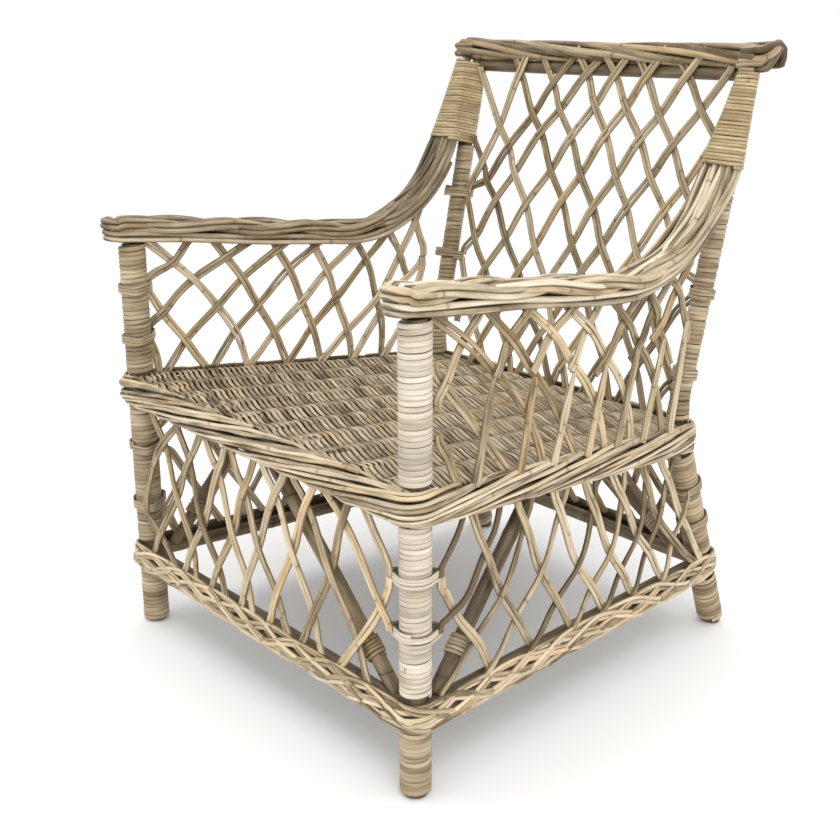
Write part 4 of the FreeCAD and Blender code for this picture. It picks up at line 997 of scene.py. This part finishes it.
def addArm(side):
    name = "left" if side > 0 else "right"
    _, along, aside = armWays(side)
    outwardWay = aside if aside[0] * side > 0 else -aside
    look = looks["plait" if side > 0 else "tanPlait"]
    pole = CaneBundle(f"{name}ArmPole", 12, 0.3, 0.03)
    # the pole under the plait is darkened: painted shade
    pole.addCane(armLine(side, 0, arm["nose"] * 0.4), arm["poleRadius"], stainAndShade=0.5)
    pole.finishPiece(looks["pole"], [f"arm_pole_{name}"])
    base = FramedLine(armLine(side, arm["poleRadius"] + arm["gap"], arm["nose"]), outwardWay)
    plait = CaneBundle(f"{name}ArmPlait", 10, 0.21)
    dice = plait.dice
    radius = arm["strandRadius"]
    middle = 0.0142
    places = [base.bendRun, base.bendRun + 0.12, base.length - 0.17, base.length - 0.11, base.length - 0.06]

    def limb(group, order, layer, begin):
        # one strand of a group: its run, its place across and its height over the pole
        runs = np.arange(begin, base.length - arm["end"], 0.009)
        turn = 2 * math.pi * ((runs - arm["bow"]) / arm["wave"] * side + group / 3)
        opened = np.clip((runs - base.bendRun + 0.02) / 0.15, 0, 1)
        opened = opened * opened * (3 - 2 * opened)
        across = (1 - opened) * arm["swing"] * np.sin(turn) + opened * 0.0166 * (group - 1) * -side
        spread = (1 - opened) * (0.64 + 0.36 * np.abs(np.cos(turn))) + opened * 0.92
        across = across + (order - (arm["perGroup"] - 1) / 2) * radius * 1.86 * spread
        across = across + (0.0010 + 0.0010 * opened) * np.sin(runs * 27 + order * 2.3 + group * 4)
        tall = middle + (1 - opened) * arm["hump"] * np.sin(2 * turn) - layer * 0.0076
        tall = tall + (0.0010 + 0.0012 * opened) * np.sin(runs * 31 + order * 2.6 + group * 1.7)
        across = across * np.interp(runs, places, [1, 1, 1, 0.86, 0.52])
        tall = tall * np.interp(runs, places, [1, 1, 1, 0.85, 0.5])
        return np.stack([runs, across, tall], axis=1)

    groupPlus, groupMinus = (1, 2) if side > 0 else (2, 1)
    for layer in (0, 1):
        for order in range(arm["perGroup"]):
            near = limb(groupPlus, order, layer, arm["bow"])
            far = limb(groupMinus, arm["perGroup"] - 1 - order, layer, arm["bow"])
            if near[0][1] < far[0][1]:
                near, far = far, near
            addLoop(plait, base, (far, near), radius * dice.uniform(0.90, 1.06), 0.020 - 0.014 * layer)
            path = limb(0, order, layer, arm["bow"] * 0.55)
            path[:, 2] -= 0.008 * np.clip(1 - (path[:, 0] - path[0][0]) / 0.05, 0, 1)
            addStrand(plait, base, path, radius * dice.uniform(0.90, 1.06), 0.020 - 0.014 * layer)
    plait.finishPiece(look, [f"arm_plait_{name}"])
    under = CaneBundle(f"{name}ArmUnderStrands", 10, 0.21)
    low = FramedLine(armLine(side, 0, arm["nose"]), outwardWay)
    for reach, level, radius in ((0.0160, 0.0052, 0.0042), (0.0145, -0.0032, 0.0040)):
        limbs = []
        for way in (-1, 1):
            runs = np.arange(arm["bow"], low.length * 0.80, 0.010)
            wave = 0.0011 * np.sin(runs * 24 + way * 2 + level * 900)
            narrow = np.interp(runs, [low.bendRun, low.bendRun + 0.2, low.length], [1, 0.8, 0.6])
            limbs.append(np.stack([runs, way * reach * narrow + wave, np.full(len(runs), level) - wave], axis=1))
        addLoop(under, low, limbs, radius, 0.009)
    under.finishPiece(look, [f"arm_under_strands_{name}"])
    return base


armBases = {side: addArm(side) for side in (1, -1)}

# Shoulder wraps bind the arm's bundle to the rear post

wraps = CaneBundle("shoulderWraps", 8, 0.9)
shoulder = {"low": 0.7285, "high": 0.8610, "turns": 27, "cane": 0.0027,
            "ahead": (0.0405, 0.0225), "apart": (0.0185, 0.0060), "girth": (0.0125, 0.0078),
            "outward": 0.0127, "pole": (0.0188, 0.0088)}
for side in (1, -1):
    corner = "rearLeft" if side > 0 else "rearRight"
    _, along, _ = armWays(side)

    def shoulderWays(z, corner=corner, along=along):
        way = postWay(corner, z)
        forward = -unit(along - way * np.dot(along, way))
        return forward, np.cross(way, forward)

    def shoulderCircles(z):
        share = np.clip((z - shoulder["low"]) / (shoulder["high"] - shoulder["low"]), 0, 1) ** 0.85
        ahead, apart, girth = [shoulder[key][0] * (1 - share) + shoulder[key][1] * share
                               for key in ("ahead", "apart", "girth")]
        rear = posts["backRadius"] + 0.0010 + shoulder["cane"] * 0.7
        shift = shoulder["outward"] * side
        return [(0, 0, rear), (shoulder["pole"][0], shift, shoulder["pole"][1]),
                (ahead, shift + apart, girth), (ahead, shift - apart, girth)]

    line, outward = windingLine(lambda z: postPoint(corner, z), shoulderWays, shoulderCircles, shoulder["low"],
                                shoulder["high"], shoulder["turns"], wraps.dice, 0.0004, 0.6, 36)
    marks = [wraps.dice.uniform(-0.6, 0.6) for _ in range(shoulder["turns"] + 2)]
    tone = np.interp(np.linspace(0, shoulder["turns"], len(line)), range(shoulder["turns"] + 2), marks)
    wraps.addCane(line, shoulder["cane"], outward, 0.8, tone=tone, hue=0.1)
wraps.finishPiece(looks["wrap"], ["shoulder_wraps"])
print("arms made")

# Crest

crest = {"halfLength": 0.333, "halfDepth": 0.0165, "halfHeight": 0.0120, "strands": 8, "radius": 0.0057,
         "twist": -0.78, "middle": 0.8830}
rail = CaneBundle("crestRail", 12, 0.3, 0.04)
addPole(rail, cutBack(postPoint("rearRight", 0.858), postPoint("rearLeft", 0.858), 0.010), poleSizes["crestRail"])
rail.finishPiece(looks["pole"], ["crest_rail"])
plait = CaneBundle("crestPlait", 10, 0.21)
crestY = posts["rearTop"][1]


def crestPlace(x, index):
    # where a strand of the crest's twist lies, and which way it faces
    angle = 2 * math.pi * index / crest["strands"] + x / crest["twist"] * 2 * math.pi
    angle = angle + 0.16 * np.sin(x * 19 + index * 2.1)
    swell = np.interp(np.abs(x) / crest["halfLength"], [0, 0.55, 0.8, 0.93, 1.0], [0.92, 0.94, 1.04, 1.08, 0.86])
    y = -np.cos(angle) * crest["halfDepth"] * swell
    z = np.sin(angle) * crest["halfHeight"] * swell + (swell - 0.92) * 0.008
    return np.stack([x, crestY - 0.001 + y, crest["middle"] + z], axis=1), np.stack([0 * x, y, z * 1.7], axis=1)


crestSpan = np.arange(-crest["halfLength"] + 0.022, crest["halfLength"] - 0.030, 0.008)
for index in range(crest["strands"]):
    line, facing = crestPlace(crestSpan, index)
    plait.addCane(line, crest["radius"] * plait.dice.uniform(0.92, 1.05), facing)
# the core inside the crest's twist is darkened: painted shade
plait.addCane(np.stack([crestSpan, 0 * crestSpan + crestY, 0 * crestSpan + crest["middle"]], axis=1), 0.008, stainAndShade=0.8)
# loops close the ends: two flat ones at one end, a curled knot at the other
ends = {-1: [((-0.017, 0.006), (0.017, 0.006), 0.020, 0.0), ((-0.016, -0.007), (0.016, -0.007), 0.019, 0.0),
             ((-0.006, 0.009), (0.008, -0.001), 0.014, 0.0)],
        1: [((0.014, 0.008), (-0.018, -0.012), 0.028, 0.013), ((0.018, -0.008), (-0.019, 0.008), 0.021, 0.014),
            ((0.003, 0.014), (-0.013, -0.018), 0.018, 0.013), ((0.012, -0.012), (-0.006, 0.013), 0.012, 0.007),
            ((-0.004, 0.012), (-0.018, -0.004), 0.024, 0.006)]}
for side, loops in ends.items():
    for (yA, zA), (yB, zB), bulge, hump in loops:
        x0 = side * (crest["halfLength"] - bulge - crest["radius"] * 0.9)
        t = np.linspace(0, 1, 15)
        bow = np.sin(t * math.pi)
        run = np.clip(np.abs(t - 0.5) * 2, 0, 1)
        x = x0 + side * bulge * bow - side * 0.030 * np.clip((run - 0.86) / 0.14, 0, 1)
        swing = 0.5 - 0.5 * np.cos(t * math.pi)
        y = crestY + yA + (yB - yA) * swing
        z = crest["middle"] + zA + (zB - zA) * swing + hump * bow
        line = smoothLine(np.stack([x, y, z], axis=1), 0.004)
        plait.addCane(line, crest["radius"] * plait.dice.uniform(0.88, 1.0))
plait.finishPiece(looks["crest"], ["crest_plait"])
print("crest made")

# Lattices. A strand is given by its shares of the side's width at the upper edge, half way down and at
# the lower edge, then, where it is short, by the shares of the height where it ends and where it begins.

lattice = {"cane": 0.0034, "flatness": 0.80, "weave": 0.0031, "halfPair": 0.0032, "stand": 0.0193, "step": 0.006}


def evenStrands(first, last, pitch, travel):
    count = int(round((last - first) / pitch)) + 1
    return [(first + i * pitch, first + i * pitch + travel / 2, first + i * pitch + travel) for i in range(count)]


def edge(cornerA, cornerB, zA, zB, stand):
    a, b = postPoint(cornerA, zA), postPoint(cornerB, zB)
    out = outwardOf(a, b) * stand
    return a + out, b + out


def flatEdge(ends):
    return lambda share: mixed(ends[0], ends[1], share)


def armUnderside(side):
    # the line under the arm, by the share of the way back to the rear post
    line = armLine(side, -arm["poleRadius"] - 0.002, 0.0)
    front, along, _ = armWays(side)
    runs = (line - front) @ along
    rear = np.dot(postPoint("rearLeft" if side > 0 else "rearRight", 0.364) - front, along)

    def place(share):
        return np.array([np.interp(share * rear, runs, line[:, k]) for k in range(3)])
    return place


def panel(cornerA, cornerB, heights, stands, node):
    low, high = [edge(cornerA, cornerB, *pair, stand) for pair, stand in zip(heights, stands)]
    return {"node": node, "corners": (cornerA, cornerB), "foot": flatEdge(low), "top": flatEdge(high)}


stand = lattice["stand"]
lowerFront = ((0.1383, 0.1383), (0.3687, 0.3687))
lowerSide = ((0.1383, 0.1383), (0.3687, 0.3187))
fields = {
    "backLattice": panel("rearRight", "rearLeft", ((0.365, 0.365), (0.872, 0.872)), (stand, -0.0142),
                         "back_lattice"),
    "leftUpperLattice": panel("frontLeft", "rearLeft", ((0.4153, 0.3653), (0.6, 0.6)), (stand, 0.0),
                              "upper_lattice_left"),
    "rightUpperLattice": panel("frontRight", "rearRight", ((0.4153, 0.3653), (0.6, 0.6)), (stand, 0.0),
                               "upper_lattice_right"),
    "frontLowerLattice": panel("frontRight", "frontLeft", lowerFront, (stand, stand), "lower_lattice_front"),
    "leftLowerLattice": panel("frontLeft", "rearLeft", lowerSide, (stand, stand), "lower_lattice_left"),
    "rightLowerLattice": panel("frontRight", "rearRight", lowerSide, (stand, stand), "lower_lattice_right"),
    "rearLowerLattice": panel("rearLeft", "rearRight", ((0.1383, 0.1383), (0.3187, 0.3187)), (stand, stand),
                              "lower_lattice_rear"),
}
fields["leftUpperLattice"]["top"] = armUnderside(1)
fields["rightUpperLattice"]["top"] = armUnderside(-1)
fields["backLattice"].update({
    "falling": [(0.01, 0.31, 0.54), (0.18, 0.47, 0.72), (0.30, 0.59, 0.85), (0.45, 0.72, 0.97),
                (0.55, 0.86, 1.13), (0.66, 0.97, 1.25), (0.80, 1.14, 1.42), (-0.14, 0.18, 0.48),
                (-0.36, 0.02, 0.31), (-0.50, -0.12, 0.18), (-0.64, -0.27, 0.06)],
    "rising": [(0.10, -0.19, -0.50), (0.23, 0.02, -0.22), (0.41, 0.04, -0.30), (0.51, 0.14, -0.10),
               (0.61, 0.27, -0.04), (0.72, 0.40, 0.13), (0.85, 0.53, 0.27), (0.97, 0.64, 0.34),
               (1.09, 0.77, 0.49), (1.21, 0.90, 0.62), (1.33, 1.02, 0.75), (1.45, 1.14, 0.88)],
})
fields["leftUpperLattice"].update({
    "falling": [(0.05, 0.28, 0.38), (0.22, 0.39, 0.50), (0.35, 0.54, 0.62), (0.49, 0.67, 0.73),
                (0.66, 0.80, 0.87), (0.80, 0.88, 0.97, 0.42, 1), (0.88, 0.97, 1.01), (-0.05, 0.10, 0.25),
                (-0.29, -0.03, 0.09)],
    "rising": [(0.19, 0.04, -0.10, 0.46, 1), (0.34, 0.20, 0.10, 0.60, 1), (0.50, 0.32, 0.22, 0.60, 1),
               (0.60, 0.46, 0.30, 0.58, 1), (0.75, 0.58, 0.42, 0.52, 1), (0.88, 0.69, 0.50, 0.58, 1),
               (1.01, 0.73, 0.58, 0.66, 1)],
    "tips": [(0.26, 0.20, 0.14, 0, 0.61), (0.39, 0.34, 0.29, 0, 0.58), (0.55, 0.48, 0.41, 0, 0.56),
             (0.66, 0.60, 0.54, 0, 0.59), (0.78, 0.72, 0.66, 0, 0.66), (0.89, 0.83, 0.77, 0, 0.64),
             (0.97, 0.93, 0.89, 0, 0.64)],
})
fields["rightUpperLattice"].update({
    "falling": [(0.05, 0.25, 0.34), (0.25, 0.38, 0.47), (0.44, 0.53, 0.59), (0.57, 0.65, 0.70),
                (0.72, 0.79, 0.81), (0.84, 0.92, 1.0, 0.58, 1), (0.93, 1.01, 1.09, 0.57, 1),
                (-0.07, 0.07, 0.21), (-0.19, -0.01, 0.07)],
    "rising": [(0.16, 0.02, -0.1), (0.34, 0.10, 0.04), (0.46, 0.25, 0.10), (0.57, 0.38, 0.24),
               (0.70, 0.52, 0.36), (0.82, 0.63, 0.49), (0.95, 0.79, 0.60), (1.07, 0.86, 0.71),
               (1.12, 0.97, 0.82)],
})
fields["frontLowerLattice"].update({
    "falling": [(0.10, 0.20, 0.26), (0.22, 0.29, 0.38), (0.33, 0.42, 0.49), (0.43, 0.52, 0.62),
                (0.55, 0.66, 0.74), (0.66, 0.79, 0.89), (0.77, 0.94, 1.07), (0.89, 1.04, 1.18),
                (-0.27, -0.06, 0.16), (-0.21, -0.09, 0.07)],
    "rising": [(0.21, 0.05, -0.04), (0.31, 0.19, 0.07), (0.41, 0.32, 0.21), (0.52, 0.43, 0.33),
               (0.63, 0.53, 0.45), (0.73, 0.64, 0.56), (0.84, 0.77, 0.68), (1.03, 0.94, 0.81)],
})
fields["leftLowerLattice"].update({
    "falling": [(-0.09, 0.07, 0.19), (-0.16, -0.03, 0.06), (0.14, 0.22, 0.32), (0.29, 0.36, 0.45),
                (0.42, 0.48, 0.57), (0.54, 0.60, 0.68), (0.65, 0.72, 0.80), (0.78, 0.82, 0.93),
                (0.86, 0.91, 0.96)],
    "singles": [(0.11, 0.0, -0.15), (0.23, 0.11, -0.14), (0.34, 0.24, 0.04), (0.47, 0.36, 0.18),
                (0.58, 0.51, 0.31), (0.70, 0.63, 0.46), (0.80, 0.73, 0.57), (0.92, 0.81, 0.68),
                (1.0, 0.92, 0.80)],
})
for name in ("rightLowerLattice", "rearLowerLattice"):
    fields[name].update({"falling": evenStrands(-0.12, 0.9, 0.125, 0.20),
                         "rising": evenStrands(0.12, 1.15, 0.125, -0.22)})


class Strand:
    # one strand of a lattice: its share of the width at each height of a fine scale
    scale = np.linspace(-0.04, 1.04, 217)

    def __init__(self, values, margins, runOn, kind):
        a, b, c = values[2], values[1], values[0]
        h = self.scale
        self.shares = a * (1 - h) * (1 - 2 * h) + b * 4 * h * (1 - h) + c * h * (2 * h - 1)
        low, high = (values[3], values[4]) if len(values) > 3 else (0, 1)
        low = -0.04 if low == 0 else low
        high = 1.04 if high == 1 else high
        inside = (h >= low) & (h <= high)
        # a strand that meets a post runs on beside it for a little and is tied there
        outside = (self.shares < margins[0]) | (self.shares > 1 - margins[1])
        free = np.where(inside & ~outside)[0]
        self.kind = kind
        self.live = len(free) > 36
        if not self.live:
            return
        first, last = free[0], free[-1]
        steps = int(runOn / 0.005)
        self.first = max(first - (steps if low <= h[first] - 0.006 else 0), np.where(inside)[0][0])
        self.last = min(last + (steps if high >= h[last] + 0.006 else 0), np.where(inside)[0][-1])
        self.shares = np.clip(self.shares, margins[0], 1 - margins[1])
        self.tied = [h[first] > max(low, 0) + 0.006, h[last] < min(high, 1) - 0.006]
        self.knots = []

    def heights(self, foot, top, knotHeights):
        # the ends that meet a post are drawn to the nearest tie
        h = self.scale[self.first:self.last + 1].copy()
        shares = self.shares[self.first:self.last + 1]
        for end, tied in zip((0, -1), self.tied):
            if not tied:
                continue
            here = mixed(foot(shares[end]), top(shares[end]), h[end])
            span = top(shares[end])[2] - foot(shares[end])[2]
            options = [z - here[2] for z in knotHeights[0 if shares[end] < 0.5 else 1]]
            if not options:
                continue
            move = min(options, key=abs)
            if abs(move) > 0.045:
                continue
            away = np.abs(h - h[end]) * span
            reach = max(0.07, abs(move) * 1.9)
            fade = np.clip(1 - away / reach, 0, 1)
            h = h + move / span * fade * fade * (3 - 2 * fade)
        return h

    def offsets(self):
        # out at one crossing and in at the next, with a soft swing between
        h = self.scale
        if not self.knots:
            return np.zeros(len(h))
        knots = sorted(self.knots)
        places = [k[0] for k in knots]
        sidesOut = [k[1] for k in knots]
        places = [places[0] - 0.12] + places + [places[-1] + 0.12]
        sidesOut = [0.0] + sidesOut + [0.0]
        fine = np.interp(h, places, sidesOut)
        return np.sin(fine * math.pi / 2)


def addLattice(name, field):
    bundle = CaneBundle(name, 8, 0.085)
    dice = bundle.dice
    foot, top = field["foot"], field["top"]
    width = np.linalg.norm(foot(1.0) - foot(0.0))
    height = np.linalg.norm(top(0.5) - foot(0.5))
    part = "upper" if foot(0.5)[2] > 0.3 else "lower"
    middle = (foot(0.5)[2] + top(0.5)[2]) / 2
    margins = [(boundRadius(corner, middle) + 0.0050) / width for corner in field["corners"]]
    knotHeights = [[z + tie["pitch"] * tie["turns"] / 2 for z in tieHeights(corner, part)]
                   for corner in field["corners"]]
    families = {}
    for kind in ("falling", "rising", "singles", "tips"):
        strands = [Strand(values, margins, 0.012 / height, kind) for values in field.get(kind, [])]
        families[kind] = [s for s in sorted(strands, key=lambda s: s.shares[100]) if s.live]
    rising = families["rising"] + families["singles"]
    rising = sorted(rising, key=lambda s: s.shares[100])
    for i, falling in enumerate(families["falling"]):
        for j, other in enumerate(rising):
            gap = falling.shares - other.shares
            low, high = max(falling.first, other.first), min(falling.last, other.last)
            signs = np.where(np.diff(np.sign(gap[low:high])) != 0)[0]
            if len(signs) == 0:
                continue
            place = Strand.scale[low + signs[0]]
            over = 1 if (i + j) % 2 == 0 else -1
            falling.knots.append((place, over))
            other.knots.append((place, -over))
    for strand in families["falling"] + rising + families["tips"]:
        h = strand.heights(foot, top, knotHeights)
        shares = strand.shares[strand.first:strand.last + 1]
        centres = np.array([mixed(foot(s), top(s), t) for s, t in zip(shares, h)])
        across = unit(foot(0.9) - foot(0.1))
        out = unit(np.cross(across, (0, 0, 1)))
        chairMiddle = np.array((0, 0, centres[0][2]))
        if np.dot(out, centres[0] - chairMiddle) < 0:
            out = -out
        offset = strand.offsets()[strand.first:strand.last + 1] * lattice["weave"]
        if strand.kind == "tips":
            offset = offset + 0.0072
        line = centres + out * offset[:, None]
        tangents = unit(np.gradient(line, axis=0))
        aside = unit(np.cross(out, tangents))
        share = np.linspace(0, 1, len(h))
        # a free tip thins out at its upper end
        free = strand.kind == "tips" or (strand.kind == "singles" and h[-1] < 0.95)
        thin = np.interp(share, [0, 0.75, 1.0], [1.0, 0.95, 0.58]) if free else np.ones(len(h))
        pair = 1 if strand.kind == "singles" else 2
        tone = dice.uniform(-0.8, 0.8)
        hue = dice.uniform(-0.9, 0.9)
        if strand.kind == "singles":
            # some of the single canes have weathered dark grey
            weathered = dice.random() < 0.4
            tone, hue = tone - (1.5 if weathered else 0.4), -1.0 if weathered else hue
        for cane in range(pair):
            way = (cane - 0.5) * 2 if pair == 2 else 0
            spread = lattice["halfPair"] * way * thin
            wander = 0.0007 * np.sin(share * dice.uniform(7, 12) + dice.uniform(0, 6))
            path = line + aside * (spread + wander)[:, None]
            path = smoothLine(path[::3] if len(path) > 12 else path, lattice["step"])
            spot = np.linspace(0, 1, len(path))
            radius = lattice["cane"] * (1.12 if free else 1.0) * dice.uniform(0.92, 1.06) * np.interp(spot, share, thin)
            if pair == 1:
                radius = radius * 1.25
            radius = radius * (1 + 0.05 * np.sin(spot * dice.uniform(8, 15) + dice.uniform(0, 6)))
            bundle.addCane(path, radius, out, lattice["flatness"], tone=tone + dice.uniform(-0.3, 0.3),
                           hue=hue + dice.uniform(-0.2, 0.2))
    return bundle.finishPiece(looks["backLattice" if name == "backLattice" else "lattice"], [field["node"]])


for name, field in fields.items():
    addLattice(name, field)
print("lattices made")

# Light, floor and camera

view = {"azimuth": 49.384, "elevation": 17.557, "distance": 1.933, "target": (-0.013, -0.02775, 0.352),
        "lens": 54.504}


def addArea(name, place, aim, size, power, colour=(1, 1, 1)):
    data = bpy.data.lights.new(name, "AREA")
    data.shape = "SQUARE"
    data.size = size
    data.energy = power
    data.color = colour
    lamp = bpy.data.objects.new(name, data)
    lamp.location = place
    lamp.rotation_euler = (Vector(aim) - Vector(place)).to_track_quat("-Z", "Y").to_euler()
    bpy.context.scene.collection.objects.link(lamp)
    return lamp


world = bpy.data.worlds.new("paleStudio")
bpy.context.scene.world = world
world.use_nodes = True
tree = world.node_tree
tree.nodes.clear()
worldOut = tree.nodes.new("ShaderNodeOutputWorld")
background = tree.nodes.new("ShaderNodeBackground")
paths = tree.nodes.new("ShaderNodeLightPath")
shade = mixColours(tree, paths.outputs["Is Camera Ray"], (1.0, 1.0, 1.0, 1.0), (1.0, 1.0, 1.0, 1.0))
tree.links.new(shade, background.inputs[0])
background.inputs[1].default_value = 1.0
tree.links.new(background.outputs[0], worldOut.inputs[0])

floorMesh = bpy.data.meshes.new("paleFloor")
reach = 8.0
floorMesh.from_pydata([(-reach, -reach, 0), (reach, -reach, 0), (reach, reach, 0), (-reach, reach, 0)], [], [(0, 1, 2, 3)])
floor = bpy.data.objects.new("paleFloor", floorMesh)
bpy.context.scene.collection.objects.link(floor)
floorLook = bpy.data.materials.new("paleFloor")
floorLook.use_nodes = True
floorShader = floorLook.node_tree.nodes["Principled BSDF"]
floorShader.inputs["Base Color"].default_value = (1.0, 1.0, 1.0, 1.0)
floorShader.inputs["Roughness"].default_value = 0.9
floorShader.inputs["Specular IOR Level"].default_value = 0.0
floorMesh.materials.append(floorLook)
lamps = [addArea("keyLight", (2.2, -1.6, 2.6), (0, 0, 0.4), 1.6, 36),
         addArea("topLight", (-0.4, -0.3, 3.0), (0, 0, 0.4), 2.4, 14)]

azimuth, elevation = math.radians(view["azimuth"]), math.radians(view["elevation"])
backWay = Vector((math.sin(azimuth) * math.cos(elevation), -math.cos(azimuth) * math.cos(elevation),
                  math.sin(elevation)))
cameraData = bpy.data.cameras.new("photoCamera")
cameraData.lens = view["lens"]
cameraData.sensor_width = 36.0
camera = bpy.data.objects.new("photoCamera", cameraData)
camera.location = Vector(view["target"]) + backWay * view["distance"]
camera.rotation_euler = (-backWay).to_track_quat("-Z", "Y").to_euler()
bpy.context.scene.collection.objects.link(camera)
bpy.context.scene.camera = camera
bpy.context.scene.view_settings.view_transform = "Standard"

print("light and camera set")
